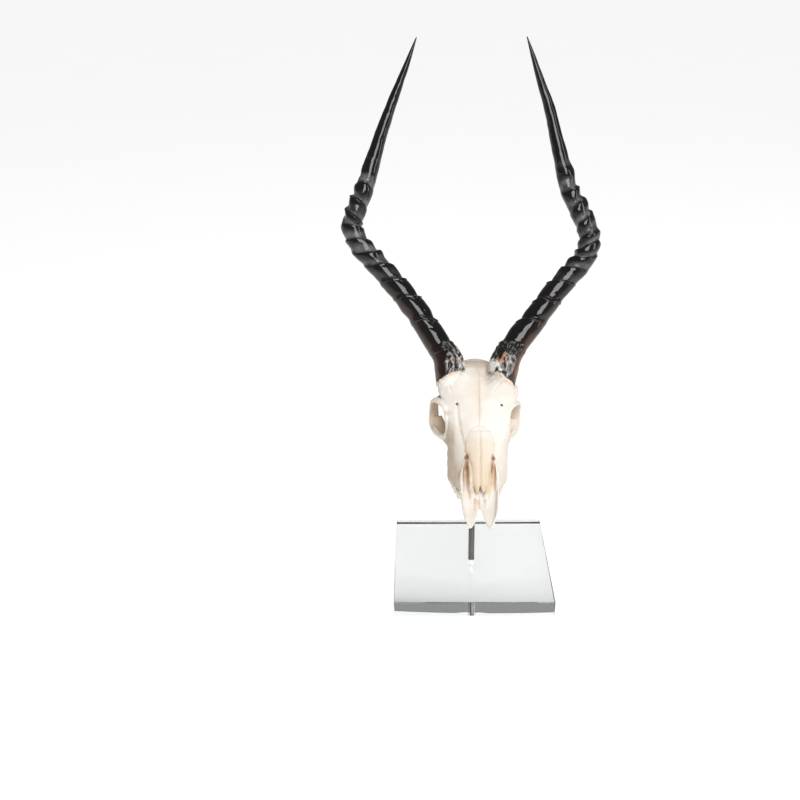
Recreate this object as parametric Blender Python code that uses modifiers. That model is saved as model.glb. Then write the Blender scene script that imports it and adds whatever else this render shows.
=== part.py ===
"""An impala skull with its two horns, on a steel rod in a clear block.

World frame: metres, +Z up, the origin in the middle of the block's underside.
The muzzle points to -Y.

The bone is modelled in the skull's own frame, in millimetres: x to the
animal's side, b back from the tips of the premaxillae, d above the plane of the
tooth sockets. POSE places that frame in the world.
"""

from math import atan2, cos, pi, radians, sin, tan

import bmesh
import bpy
import numpy as np
from mathutils import Euler, Matrix, Vector

MM = 0.001
GAP = 0.3

# Clear block and rod
BLOCK_SIDE = 200.0
BLOCK_HEIGHT = 20.0
BLOCK_EDGE = 0.8
ROD_DIAMETER = 8.0
ROD_DEPTH_IN_BLOCK = 15.0
ROD_TOP = 238.0
ROD_SIDES = 20
DRILLED_FROM = 150.0
HOLE_OVERRUN = 5.0

# Where the skull's own frame sits in the world: nose down, a slight lean
SKULL_PLACE = (1.75, -161.0, 163.0)
SKULL_TILT = 11.0
SKULL_LEAN = 2.5
SKULL_TURN = 0.5
POSE = Matrix.LocRotScale(
    Vector(SKULL_PLACE),
    Euler((radians(SKULL_TILT), radians(SKULL_LEAN), radians(SKULL_TURN))),
    None,
)

# The bone's surface
BONE_VOXEL = 1.5
BONE_SMOOTHING = 3
BONE_TRIANGLES = 5400
BAR_SIDES = 12
BAR_RINGS = 16
HOLLOW_SIDES = 16
SMALL_HOLLOW_SIDES = 8
SMALL_HOLLOW_RINGS = 6
CLOSED_BAR_RINGS = 30
CREST_RINGS = 20
BALL_SEGMENTS = 18
BALL_RINGS = 12
CRANIUM_RINGS = 48
HALF_RING_POINTS = 22
ORBIT_SHIFT = -2.5

# Half cross-sections of the cranium: (b, [(x, d) from the roof's middle down to the base's middle])
CRANIUM = [
    (49, [(0, 25), (8, 24), (15, 21), (19, 17), (20, 13),
          (20, 9), (19.5, 5), (18, 0), (10, 3), (0, 4)]),
    (62, [(0, 31), (9, 30), (17, 26), (21.5, 21), (23, 16),
          (23.5, 11), (24.6, 6), (24.2, -0.5), (14, 4), (0, 6)]),
    (74, [(0, 38), (9, 37), (17, 34), (22, 29), (26, 23),
          (28.5, 16), (30.4, 8), (30, -0.5), (18, 5), (0, 7)]),
    (86, [(0, 45), (10, 44), (17, 41), (23.5, 36), (29, 29),
          (32.5, 21), (35, 11), (34.5, -0.5), (22, 5), (0, 8)]),
    (100, [(0, 52.5), (11, 52), (19, 49.5), (26, 44), (31.5, 36),
           (34.5, 27), (35.5, 14), (34, 0), (22, 5), (0, 8)]),
    (113, [(0, 59), (12, 58.5), (22, 56), (30, 51), (34.5, 43),
           (36, 32), (35.5, 16), (34, 1), (22, 6), (0, 9)]),
    (125, [(0, 65.5), (13, 65), (26, 62), (36, 57), (38, 50),
           (37, 36), (33, 20), (31, 6), (20, 9), (0, 11)]),
    (136, [(0, 71), (14, 71), (28, 68), (38.5, 63), (35, 57),
           (24, 46), (20, 34), (19, 22), (15, 14), (0, 13)]),
    (148, [(0, 77), (16, 77), (30, 74), (41.5, 68.5), (35, 63),
           (21, 52), (16, 38), (14, 27), (11, 19), (0, 17)]),
    (159, [(0, 81.5), (18, 82), (34, 79), (47, 70.5), (42, 65),
           (22, 55), (17, 42), (15, 32), (12, 23), (0, 21)]),
    (169, [(0, 85), (19, 86.5), (37, 82), (49, 71), (44, 64),
           (27, 57), (21, 45), (17, 35), (13, 26), (0, 24)]),
    (181, [(0, 88.5), (20, 90), (36, 86), (44, 77), (41, 68),
           (33, 60), (28, 48), (21, 37), (13, 28), (0, 25)]),
    (193, [(0, 91), (18, 91), (31, 86), (37, 79), (37, 71),
           (35, 62), (32, 51), (25, 39), (14, 29), (0, 26)]),
    (205, [(0, 90.5), (14, 89), (26, 83), (32, 76), (34.5, 66),
           (34, 55), (30, 44), (22, 35), (12, 28), (0, 27)]),
    (217, [(0, 84.5), (13, 83), (24, 78), (31, 71), (34, 61),
           (34, 51), (31, 42), (23, 34), (13, 29), (0, 28)]),
    (229, [(0, 75.5), (12, 74), (22, 70), (29, 63), (32, 55),
           (32.5, 47), (30, 40), (23, 34), (13, 30), (0, 29)]),
    (238, [(0, 65), (10, 65), (19, 62), (25, 57), (27, 50),
           (26, 44), (23, 39), (18, 35), (10, 32), (0, 32)]),
]

# Bars of bone on the right side: (x, b, d, half width along the first axis, half width across it)
NASAL_BONE = [
    (9, 108, 55, 10.5, 2.2), (8.5, 92, 47, 9.5, 2.2), (7.4, 83, 42.5, 8.1, 2.2), (5.6, 76, 38.8, 6.2, 2.1),
    (4.5, 69, 35, 5.0, 2.0), (4.1, 60, 30.5, 4.5, 1.9), (4.0, 51, 26, 4.3, 1.8), (3.9, 46, 23.6, 3.8, 1.6),
    (3.8, 42, 21.8, 2.6, 1.3), (3.6, 39, 20.4, 1.0, 0.8),
]
PALATINE_PROCESS = [
    (2.4, 27, 3.6, 1.3, 1.2), (2.6, 34, 4.6, 1.5, 1.5), (3, 42, 5.4, 1.6, 1.7), (4, 54, 7, 2.4, 2.0),
]
NASAL_LEDGE = [
    (14.5, 81, 35, 1.6, 4), (12.4, 73, 29.5, 1.5, 6), (11.6, 63, 24.5, 1.5, 7.5), (11.2, 54, 19, 1.5, 7),
    (10, 46, 11.5, 1.7, 5), (8.4, 38, 6, 2, 2.2), (7, 30, 4, 2, 1.4),
]
NASAL_FLOOR = [
    (10.5, 78, 30, 2.8, 4), (9.4, 68, 25.5, 2.8, 4), (9, 56, 19, 2.8, 4), (8.2, 47, 12.5, 2.8, 3.5),
    (6, 40, 7, 3, 2),
]
VOMER = [
    (0, 29.5, 3.2, 1.0, 1.1), (0, 38, 4.6, 2.6, 1.6), (0, 50, 8.5, 5, 4), (0, 60, 11, 4.5, 6),
    (0, 72, 13, 2, 8), (0, 92, 18, 1.5, 12), (0, 114, 25, 1.5, 14),
]
ORBIT_RIM = [
    (35.5, 130, 57, 3.4, 2.6), (34.5, 125, 47, 3.4, 2.6), (36, 126, 36, 3.6, 2.6), (40.2, 133.6, 29, 5, 2.6),
    (45.3, 144.9, 26, 6.5, 2.5), (49, 155.8, 28, 7.5, 2.4), (50, 163.7, 35, 7.6, 2.3),
    (50.5, 167.7, 44, 7.2, 2.4), (50.5, 166.5, 55, 6.6, 2.6), (49.4, 160.5, 62.5, 5.6, 2.8),
    (45, 151.5, 66.5, 4.4, 2.7), (39, 141, 66, 3.5, 2.6),
]
ORBIT_SHELF = [(37, 131, 28, 6, 2), (40, 143, 26, 8, 2), (43, 154, 29, 8.5, 2), (46, 162, 37, 6, 2)]
CHEEK_BAR = [
    (28, 108, 26, 5, 3), (32, 120, 28, 5, 3.4), (38, 132, 27, 4.6, 3), (45, 144, 25.5, 4.2, 2.6),
    (50.5, 157, 27, 4, 2.6), (52.5, 168, 31.5, 3.8, 2.5), (51.5, 180, 34.5, 3.6, 2.4), (48, 191, 37, 3.8, 3),
    (40, 200, 39, 4.5, 4), (30, 207, 41, 5, 5),
]
PTERYGOID_PLATE = [
    (14, 118, 12, 6, 2), (13, 132, 13, 7, 1.8), (12.5, 148, 16, 8, 1.8), (12.5, 166, 22, 8, 2.2),
]
PAROCCIPITAL = [
    (24, 220, 36, 6, 5), (24, 225, 22, 4.2, 3), (22.5, 228, 11, 2.8, 2.2), (21, 229, 4, 1.2, 1.2),
]
NUCHAL_CREST = [
    (-31, 222, 46, 3.5, 3.5), (-29, 229, 60, 3.5, 3.2), (-17, 234, 68, 3.5, 3), (0, 236, 71, 4, 3.2),
    (17, 234, 68, 3.5, 3), (29, 229, 60, 3.5, 3.2), (31, 222, 46, 3.5, 3.5),
]

# Round masses on the right side: (x, b, d), (half sizes)
TOOTH_ROOT_BULGE = ((28.5, 121, 11), (7.5, 14, 11.5))
HEARING_BULLA = ((19, 199, 23), (8, 11, 10.5))
JAW_SOCKET = ((41, 196, 38), (9, 8, 4.5))
NECK_CONDYLE = ((12.5, 239, 33), (7.5, 7.5, 9.5))

# The leaf-shaped premaxilla: (b, [(x, d) of its plate from the outer rim to the inner edge])
PREMAXILLA_THICKNESS = 2.6
PREMAXILLA = [
    (-1.6, [(12.8, 2.2), (12.1, 1.8), (11.4, 1.6), (10.8, 1.6)]),
    (5, [(15.4, 4.5), (13.8, 2.2), (10.8, 1.6), (6.9, 2.2)]),
    (13, [(18.2, 8), (16, 3.4), (11, 2.2), (4.4, 3.2)]),
    (21, [(19.9, 11), (17.6, 4.8), (10.5, 2.8), (2.3, 3.6)]),
    (34, [(20.9, 15), (18.6, 7.2), (12, 4.6), (2.6, 3.9)]),
    (48, [(21.6, 19), (20, 12), (14.5, 9.5), (3.6, 5)]),
    (61, [(21.6, 23.5), (22.2, 18), (19, 14.5), (13, 10)]),
    (71, [(19.5, 29), (23, 23), (24, 12), (20, 5)]),
]

# Hollows: (x, b, d, half width along x, half height)
NASAL_TROUGH = [
    (0, 30, 38, 18.5, 35), (0, 48, 38, 18.2, 34), (0, 62, 40, 18.5, 29), (0, 72, 43, 16.5, 26),
]
SIDE_TROUGH = [
    (14.8, 40, 20, 4.6, 12), (15.6, 52, 26, 4.2, 13), (16.2, 62, 32, 3.9, 13), (16.4, 70, 38, 3, 12),
    (17, 75, 40, 2, 7),
]
NASAL_CAVITY = [(0, 56, 20, 8.4, 9), (0, 80, 24, 9.6, 11), (0, 100, 29, 12, 14), (0, 116, 36, 8, 12)]
NASAL_GAP = [
    (16.2, 86, 50, 3.0, 3.6), (15.8, 82.5, 41, 3.2, 3.8), (14, 79, 33, 2.8, 3.6), (12.4, 74, 26, 1.8, 3.4),
]
CHOANAE = [(0, 118, 9, 8, 5), (0, 132, 11, 9.5, 9), (0, 150, 12, 9.5, 9), (0, 160, 12, 5, 4)]
FORAMEN_MAGNUM = ((0, 243, 40), (9, 18, 8.5))
BROW_FORAMEN = [(26.8, 138, 80, 1.8, 1.8), (26.8, 143, 70, 1.8, 1.8), (26.8, 149, 62, 1.5, 1.5)]

# Cheek teeth in an alveolar groove on each side
TOOTH_ROW = [(21.6, 64, 4.6, 4.4), (24.8, 73, 4.8, 4.7), (27.4, 82.4, 4.9, 4.9),
             (29.2, 93.2, 5.9, 5.6), (29.8, 105.8, 6.2, 5.8), (28.8, 118.2, 6.0, 5.4)]
TOOTH_HEIGHT = 12.5
TOOTH_IN_BONE = 4.0
GROOVE_HALF_WIDTH = 6.6
GROOVE_LOW = -6.0
GROOVE_OVERRUN = 0.62

# Horn centre lines in the world, from the base to the tip
LEFT_HORN = [
    (-30.9, 4.2, 283), (-33.2, 14, 299.5), (-46.5, 27, 317), (-64.5, 43.5, 341), (-86, 60, 366),
    (-110, 76, 390), (-130, 88, 409), (-144.5, 98, 426), (-149.5, 106, 441), (-145.5, 113, 456),
    (-135.5, 123.5, 480), (-128, 132, 502), (-115.5, 145, 540), (-100, 156, 581), (-82, 164, 624),
    (-68.3, 168, 659),
]
RIGHT_HORN = [
    (35.6, 3.6, 280.5), (41, 14, 299.5), (54.5, 26.5, 317), (76.5, 43, 340), (99, 59.5, 365), (123, 75, 388),
    (136.5, 83, 401), (144.5, 92, 416.5), (144, 100.5, 432), (136.5, 109, 449), (127, 117, 466),
    (120, 124, 480), (114.5, 132, 501), (107, 142, 530), (97, 153, 569), (81.5, 162, 614), (66, 168, 658.3),
]
# (share of the horn's length, diameter of the horn between its ridges)
HORN_DIAMETERS = [
    (0, 34), (0.03, 33.5), (0.08, 29.5), (0.2, 27), (0.33, 25.5), (0.42, 24.5), (0.52, 22.5), (0.6, 20.5),
    (0.68, 18.5), (0.77, 15.2), (0.87, 10.5), (0.95, 5.6), (0.985, 2.6), (1, 1.2),
]
HORN_SIDES = 14
# Shares of a horn's length where its ridges have their rims
LEFT_RIDGES = (0.062, 0.151, 0.229, 0.290, 0.350, 0.396, 0.434, 0.476, 0.509, 0.544, 0.589, 0.642)
RIGHT_RIDGES = (0.072, 0.159, 0.234, 0.294, 0.344, 0.383, 0.415, 0.450, 0.491, 0.533, 0.580, 0.638)
RIDGE_FALL = 0.32
RIDGE_SWELL = 0.64
SWELL_HEIGHT = 0.55
FIRST_SWELL = 0.014
SMOOTH_SHARES = (0.665, 0.70, 0.76, 0.82, 0.88, 0.93, 0.97, 0.99, 1.0)
RIDGE_WEAK_SIDE = 0.25
# (share of the length, height of the ridges there)
RIDGE_HEIGHTS = [(0, 2.2), (0.2, 3.4), (0.3, 4.2), (0.4, 5.2), (0.56, 5.6), (0.61, 3.9), (0.65, 1.9)]
# (share of the length, degrees from the front towards the other horn where the ridges stand highest)
RIDGE_FACING = [(0, 50), (0.36, 45), (0.46, 0), (0.55, -55), (0.7, -70)]
# (share of the length, degrees by which a ring drops on the side of the other horn)
RING_SLANT = [(0, -28), (0.06, 4), (0.13, 32), (0.4, 35), (0.5, 25), (0.6, 10), (0.68, 0), (1, 0)]
CORE_DEPTH = 12.0
CORE_ROOT = 14.0
CORE_RADIUS = 12.5
CORE_TIP_RADIUS = 9.5
CORE_SIDES = 12
SEAT_ROOM = 1.2
SEAT_RINGS = 5
SOCKET_ROOM = 0.4
HORN_FRONT = (0.0, -1.0, 0.35)
DIRECTION_STEP = 0.01


def clear_scene():
    for thing in list(bpy.data.objects):
        bpy.data.objects.remove(thing, do_unlink=True)


def make_collection(name):
    group = bpy.data.collections.new(name)
    bpy.context.scene.collection.children.link(group)
    return group


def add_mesh_object(name, bm, group):
    bmesh.ops.recalc_face_normals(bm, faces=bm.faces[:])
    mesh = bpy.data.meshes.new(name)
    bm.to_mesh(mesh)
    bm.free()
    thing = bpy.data.objects.new(name, mesh)
    group.objects.link(thing)
    return thing


def make_material(name, colour, roughness, metallic=0.0, transmission=0.0, ior=1.5):
    material = bpy.data.materials.new(name)
    material.use_nodes = True
    shader = material.node_tree.nodes["Principled BSDF"]
    shader.inputs["Base Color"].default_value = (*colour, 1.0)
    shader.inputs["Roughness"].default_value = roughness
    shader.inputs["Metallic"].default_value = metallic
    shader.inputs["Transmission Weight"].default_value = transmission
    shader.inputs["IOR"].default_value = ior
    return material


def curve_through(points, where):
    """Read a smooth curve through the rows of points, at shares of its length."""
    points = np.asarray(points, float)
    steps = np.linalg.norm(np.diff(points[:, :3], axis=0), axis=1)
    knots = np.concatenate([[0.0], np.cumsum(steps)]) / steps.sum()
    slopes = np.gradient(points, knots, axis=0)
    where = np.clip(np.asarray(where, float), 0.0, 1.0)
    span = np.clip(np.searchsorted(knots, where, side="right") - 1, 0, len(knots) - 2)
    width = (knots[span + 1] - knots[span])[:, None]
    u = ((where - knots[span])[:, None]) / width
    return (
        (2 * u**3 - 3 * u**2 + 1) * points[span]
        + (u**3 - 2 * u**2 + u) * width * slopes[span]
        + (3 * u**2 - 2 * u**3) * points[span + 1]
        + (u**3 - u**2) * width * slopes[span + 1]
    )


def add_rings(bm, rings, closed_path=False):
    """Join rings of points into a tube, with a face on each end."""
    rows = [[bm.verts.new(Vector(point)) for point in ring] for ring in rings]
    pairs = list(zip(rows, rows[1:]))
    if closed_path:
        pairs.append((rows[-1], rows[0]))
    for here, there in pairs:
        for i in range(len(here)):
            j = (i + 1) % len(here)
            bm.faces.new((here[i], here[j], there[j], there[i]))
    if not closed_path:
        bm.faces.new(list(reversed(rows[0])))
        bm.faces.new(rows[-1])


def add_bar(bm, stations, axis, side=1, shift=0.0, sides=BAR_SIDES, count=BAR_RINGS,
            closed_path=False):
    """A bar of elliptical section; axis is the direction of its first half width."""
    stations = [((x * side + shift), b, d, p, q) for x, b, d, p, q in stations]
    if closed_path:
        stations.append(stations[0])
    rows = curve_through(stations, np.linspace(0, 1, count))
    centres = rows[:, :3]
    ahead = np.gradient(centres, axis=0)
    if closed_path:
        ahead[0] = ahead[-1] = centres[1] - centres[-2]
        rows, centres, ahead = rows[:-1], centres[:-1], ahead[:-1]
    rings = []
    for row, centre, along in zip(rows, centres, ahead):
        along = along / np.linalg.norm(along)
        first = np.array(axis, float) * (side, 1, 1)
        first = first - along * first.dot(along)
        first = first / np.linalg.norm(first)
        second = np.cross(along, first)
        angles = np.arange(sides) * 2 * pi / sides
        rings.append([centre + row[3] * cos(a) * first + row[4] * sin(a) * second for a in angles])
    add_rings(bm, rings, closed_path)


def add_plate(bm, stations, thickness, side=1):
    """A bent plate: at each b, a line of points with half the thickness on each side."""
    rings = []
    for b, line in stations:
        points = np.array(line, float)
        along = np.gradient(points, axis=0)
        along = along / np.linalg.norm(along, axis=1)[:, None]
        across = np.stack([-along[:, 1], along[:, 0]], 1) * thickness / 2
        outline = np.concatenate([points + across, (points - across)[::-1]])
        rings.append([(x * side, b, d) for x, d in outline])
    add_rings(bm, rings)


def add_ball(bm, centre, half_sizes, side=1):
    made = bmesh.ops.create_uvsphere(bm, u_segments=BALL_SEGMENTS, v_segments=BALL_RINGS, radius=1.0)
    place = Matrix.Translation((centre[0] * side, centre[1], centre[2])) @ Matrix.Diagonal((*half_sizes, 1))
    bmesh.ops.transform(bm, matrix=place, verts=made["verts"])


def add_cranium(bm):
    """The loft of the face and the braincase, through its half sections."""
    stations = np.array([b for b, _ in CRANIUM], float)
    where = (stations - stations[0]) / (stations[-1] - stations[0])
    wanted = np.linspace(0, 1, CRANIUM_RINGS)
    halves = np.array([line for _, line in CRANIUM], float)
    slopes = np.gradient(halves, where, axis=0)
    span = np.clip(np.searchsorted(where, wanted, side="right") - 1, 0, len(where) - 2)
    width = (where[span + 1] - where[span])[:, None, None]
    u = (wanted - where[span])[:, None, None] / width
    lines = (
        (2 * u**3 - 3 * u**2 + 1) * halves[span]
        + (u**3 - 2 * u**2 + u) * width * slopes[span]
        + (3 * u**2 - 2 * u**3) * halves[span + 1]
        + (u**3 - u**2) * width * slopes[span + 1]
    )
    rings = []
    for share, line in zip(wanted, lines):
        b = stations[0] + share * (stations[-1] - stations[0])
        half = curve_through(line, np.linspace(0, 1, HALF_RING_POINTS))
        half[0, 0] = 0.0
        half[-1, 0] = 0.0
        ring = [(x, b, d) for x, d in half] + [(-x, b, d) for x, d in half[-2:0:-1]]
        rings.append(ring)
    add_rings(bm, rings)


def use_boolean(thing, cutter, operation="DIFFERENCE"):
    cut = thing.modifiers.new(operation.title() + " " + cutter.name, "BOOLEAN")
    cut.operation = operation
    cut.solver = "EXACT"
    cut.object = cutter
    cutter.hide_render = True
    cutter.display_type = "WIRE"


def bake_modifiers(thing):
    """Keep the shape that the modifiers make, and drop the modifiers."""
    graph = bpy.context.evaluated_depsgraph_get()
    mesh = bpy.data.meshes.new_from_object(thing.evaluated_get(graph))
    thing.modifiers.clear()
    thing.data = mesh


def make_cavities(group):
    """The hollows of the nose, the gullet and the neck, as one set of cutters."""
    cutters = []

    def keep(name, bm):
        cutters.append(add_mesh_object(name, bm, group))

    across = (1, 0, 0)
    middle = {"nasal_trough": NASAL_TROUGH, "nasal_cavity": NASAL_CAVITY, "choanae": CHOANAE}
    paired = {"nasal_gap": NASAL_GAP, "side_trough": SIDE_TROUGH, "brow_foramen": BROW_FORAMEN}
    for name, stations in middle.items():
        bm = bmesh.new()
        add_bar(bm, stations, across, sides=HOLLOW_SIDES)
        keep(name, bm)
    bm = bmesh.new()
    add_ball(bm, *FORAMEN_MAGNUM)
    keep("foramen_magnum", bm)
    for side, word in ((-1, "left"), (1, "right")):
        for name, stations in paired.items():
            bm = bmesh.new()
            add_bar(bm, stations, across, side=side, sides=SMALL_HOLLOW_SIDES, count=SMALL_HOLLOW_RINGS)
            keep(name + "_" + word, bm)
    return cutters


def make_bone(group, cutters_group):
    """The whole skull as one fused mass of bone, before its seats are cut."""
    bm = bmesh.new()
    add_cranium(bm)
    bone = add_mesh_object("skull", bm, group)
    for cutter in make_cavities(cutters_group):
        use_boolean(bone, cutter)
    bake_modifiers(bone)

    bm = bmesh.new()
    bm.from_mesh(bone.data)
    up, across = (0, 0, 1), (1, 0, 0)
    for side in (-1, 1):
        add_bar(bm, NASAL_BONE, (1, 0, -0.28), side)
        add_bar(bm, PALATINE_PROCESS, across, side)
        add_bar(bm, NASAL_LEDGE, across, side)
        add_bar(bm, NASAL_FLOOR, across, side)
        add_bar(bm, ORBIT_RIM, (0.8, -0.6, 0), side, ORBIT_SHIFT, count=CLOSED_BAR_RINGS,
                closed_path=True)
        add_bar(bm, ORBIT_SHELF, (0.9, -0.3, -0.3), side, ORBIT_SHIFT)
        add_bar(bm, CHEEK_BAR, up, side, ORBIT_SHIFT)
        add_bar(bm, PTERYGOID_PLATE, up, side)
        add_bar(bm, PAROCCIPITAL, across, side)
        add_plate(bm, PREMAXILLA, PREMAXILLA_THICKNESS, side)
        for ball in (TOOTH_ROOT_BULGE, HEARING_BULLA, JAW_SOCKET, NECK_CONDYLE):
            add_ball(bm, *ball, side)
    add_bar(bm, VOMER, across)
    add_bar(bm, NUCHAL_CREST, (0, 1, 0), count=CREST_RINGS)
    bmesh.ops.recalc_face_normals(bm, faces=bm.faces[:])
    bm.to_mesh(bone.data)
    bm.free()
    return bone


def finish_bone(bone):
    remesh = bone.modifiers.new("Fuse", "REMESH")
    remesh.mode = "VOXEL"
    remesh.voxel_size = BONE_VOXEL
    smooth = bone.modifiers.new("Soften", "SMOOTH")
    smooth.factor = 0.5
    smooth.iterations = BONE_SMOOTHING
    bake_modifiers(bone)
    thin = bone.modifiers.new("Facets", "DECIMATE")
    thin.ratio = BONE_TRIANGLES / (2 * len(bone.data.polygons))
    thin.use_collapse_triangulate = True
    bake_modifiers(bone)


def to_world(thing):
    """Bake the pose and the change from millimetres to metres into a mesh."""
    thing.data.transform(Matrix.Scale(MM, 4) @ POSE)
    thing.data.update()


def horn_frame(path, share, side):
    """A horn at a share of its length: centre, direction, front, and the way to the other horn."""
    before, centre, after = curve_through(path, [share - DIRECTION_STEP, share, share + DIRECTION_STEP])
    along = (after - before) / np.linalg.norm(after - before)
    front = np.array(HORN_FRONT)
    front = front - along * front.dot(along)
    front = front / np.linalg.norm(front)
    return centre, along, front, -side * np.cross(along, front)


def read_table(table, share):
    rows = np.array(table, float)
    return float(np.interp(share, rows[:, 0], rows[:, 1]))


def horn_stations(crests):
    """Shares of the length with a ring, and how much of a ridge stands there, from 0 to 1."""
    stations = [(0.0, 0.0), (0.022, 0.1), (crests[0] - FIRST_SWELL, SWELL_HEIGHT), (crests[0], 1.0)]
    for before, crest in zip(crests, crests[1:]):
        pitch = crest - before
        stations.append((before + RIDGE_FALL * pitch, 0.0))
        stations.append((before + RIDGE_SWELL * pitch, SWELL_HEIGHT))
        stations.append((crest, 1.0))
    return stations + [(share, 0.0) for share in SMOOTH_SHARES]


def horn_rings(path, side, stations, room=0.0):
    """Rings of points around a horn; room makes them wider than the horn."""
    steps = np.linalg.norm(np.diff(np.array(path, float), axis=0), axis=1)
    length = steps.sum()
    rings = []
    for share, ridge in stations:
        radius = read_table(HORN_DIAMETERS, share) / 2 + room
        lift = ridge * read_table(RIDGE_HEIGHTS, share)
        facing = radians(read_table(RIDGE_FACING, share))
        drop = tan(radians(read_table(RING_SLANT, share)))
        ring = []
        for number in range(HORN_SIDES):
            angle = number * 2 * pi / HORN_SIDES
            strength = RIDGE_WEAK_SIDE + (1 - RIDGE_WEAK_SIDE) * (0.5 + 0.5 * cos(angle - facing))
            size = radius + lift * strength
            shift = -drop * radius * sin(angle)
            own_share = share if share == 0.0 else share + shift / length
            centre, along, front, inward = horn_frame(path, own_share, side)
            point = centre + size * (cos(angle) * front + sin(angle) * inward)
            if share == 0.0:
                point = point + shift * along
            ring.append(point)
        rings.append(ring)
    return rings


def make_horn(name, path, side, crests, group, material):
    """A ridged sheath of horn, flat where it sits, that narrows to a smooth tip."""
    bm = bmesh.new()
    add_rings(bm, horn_rings(path, side, horn_stations(crests)))
    horn = add_mesh_object(name, bm, group)
    horn.data.transform(Matrix.Scale(MM, 4))
    horn.data.materials.append(material)
    return horn


def make_cone(name, centre, along, low, high, radius_low, radius_high, sides, group):
    """A cone whose axis runs through the centre, from low to high along it, in millimetres."""
    turn = Vector(along).to_track_quat("Z", "Y").to_matrix().to_4x4()
    bm = bmesh.new()
    bmesh.ops.create_cone(bm, cap_ends=True, segments=sides, radius1=radius_low * MM,
                          radius2=radius_high * MM, depth=(high - low) * MM)
    middle = Vector(centre) + Vector(along) * (low + high) / 2
    bmesh.ops.transform(bm, matrix=Matrix.Translation(middle * MM) @ turn, verts=bm.verts[:])
    return add_mesh_object(name, bm, group)


def seat_horn(bone, horn, path, side, crests, word, cutters):
    """Cut the horn's seat on the skull, raise the bony core, and hollow the horn over it."""
    centre, along, _, inward = horn_frame(path, 0.0, side)
    flat = along + tan(radians(RING_SLANT[0][1])) * inward
    flat = flat / np.linalg.norm(flat)
    bm = bmesh.new()
    add_rings(bm, horn_rings(path, side, horn_stations(crests)[:SEAT_RINGS], SEAT_ROOM))
    seat = add_mesh_object("horn_seat_" + word, bm, cutters)
    seat.data.transform(Matrix.Scale(MM, 4) @ Matrix.Translation(Vector(flat) * -GAP))
    core = make_cone("horn_core_" + word, centre, along, -CORE_ROOT, CORE_DEPTH, CORE_RADIUS,
                     CORE_TIP_RADIUS, CORE_SIDES, cutters)
    socket = make_cone("horn_socket_" + word, centre, along, -CORE_ROOT - SOCKET_ROOM,
                       CORE_DEPTH + SOCKET_ROOM, CORE_RADIUS + SOCKET_ROOM,
                       CORE_TIP_RADIUS + SOCKET_ROOM, CORE_SIDES, cutters)
    use_boolean(bone, seat)
    use_boolean(bone, core, "UNION")
    use_boolean(horn, socket)


def make_teeth(bone, parts, cutters, material):
    """Two rows of six cheek teeth, each crown with a waist between its two lobes."""
    for side, word in ((-1, "left"), (1, "right")):
        row = np.array([(x * side, b) for x, b, _, _ in TOOTH_ROW])
        first = row[0] + (row[0] - row[1]) * GROOVE_OVERRUN
        last = row[-1] + (row[-1] - row[-2]) * GROOVE_OVERRUN
        line = np.vstack([[first], row, [last]])
        groove = bmesh.new()
        width = GROOVE_HALF_WIDTH
        rings = []
        for number, (x, b) in enumerate(line):
            before = line[max(number - 1, 0)]
            after = line[min(number + 1, len(line) - 1)]
            along = (after - before) / np.linalg.norm(after - before)
            out = np.array((along[1], -along[0])) * width
            high = TOOTH_IN_BONE + GAP
            rings.append([(x + out[0], b + out[1], GROOVE_LOW), (x + out[0], b + out[1], high),
                          (x - out[0], b - out[1], high), (x - out[0], b - out[1], GROOVE_LOW)])
        add_rings(groove, rings)
        cutter = add_mesh_object("tooth_groove_" + word, groove, cutters)
        to_world(cutter)
        use_boolean(bone, cutter)
        for number, (x, b, half_length, half_width) in enumerate(TOOTH_ROW, 1):
            before = line[number - 1]
            after = line[number + 1]
            turn = atan2(-(after - before)[0], (after - before)[1])
            bm = bmesh.new()
            add_tooth_crown(bm, half_length - GAP, half_width)
            place = Matrix.Translation((x * side, b, TOOTH_IN_BONE)) @ Matrix.Rotation(turn, 4, "Z")
            bmesh.ops.transform(bm, matrix=place, verts=bm.verts[:])
            tooth = add_mesh_object("cheek_tooth_%s_%d" % (word, number), bm, parts)
            to_world(tooth)
            tooth.data.materials.append(material)


def add_tooth_crown(bm, half_length, half_width):
    """One crown: two lobes with a waist between them, narrower where it bites."""
    outline = [(0, 0.72), (0.5, 1), (0.9, 0.82), (1, 0), (0.9, -0.82), (0.5, -1), (0, -0.72),
               (-0.5, -1), (-0.9, -0.82), (-1, 0), (-0.9, 0.82), (-0.5, 1)]
    levels = [(0, 1, 1), (-TOOTH_HEIGHT * 0.7, 1, 0.95), (-TOOTH_HEIGHT, 0.88, 0.62)]
    rings = []
    for z, long_scale, wide_scale in levels:
        rings.append([(w * half_width * wide_scale, f * half_length * long_scale, z) for f, w in outline])
    add_rings(bm, rings)


def make_block(parts, cutters, material):
    """The clear block, with eased edges and a blind hole for the rod."""
    bm = bmesh.new()
    bmesh.ops.create_cube(bm, size=1.0)
    bmesh.ops.scale(bm, vec=(BLOCK_SIDE * MM, BLOCK_SIDE * MM, BLOCK_HEIGHT * MM), verts=bm.verts[:])
    block = add_mesh_object("base", bm, parts)
    block.location = (0, 0, BLOCK_HEIGHT * MM / 2)
    ease = block.modifiers.new("Edges", "BEVEL")
    ease.width = BLOCK_EDGE * MM
    ease.segments = 1
    low = BLOCK_HEIGHT - ROD_DEPTH_IN_BLOCK - GAP
    hole = make_cone("rod_hole_in_base", (0, 0, 0), (0, 0, 1), low, BLOCK_HEIGHT + HOLE_OVERRUN,
                     ROD_DIAMETER / 2 + GAP, ROD_DIAMETER / 2 + GAP, ROD_SIDES, cutters)
    use_boolean(block, hole)
    block.data.materials.append(material)
    return block


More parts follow.
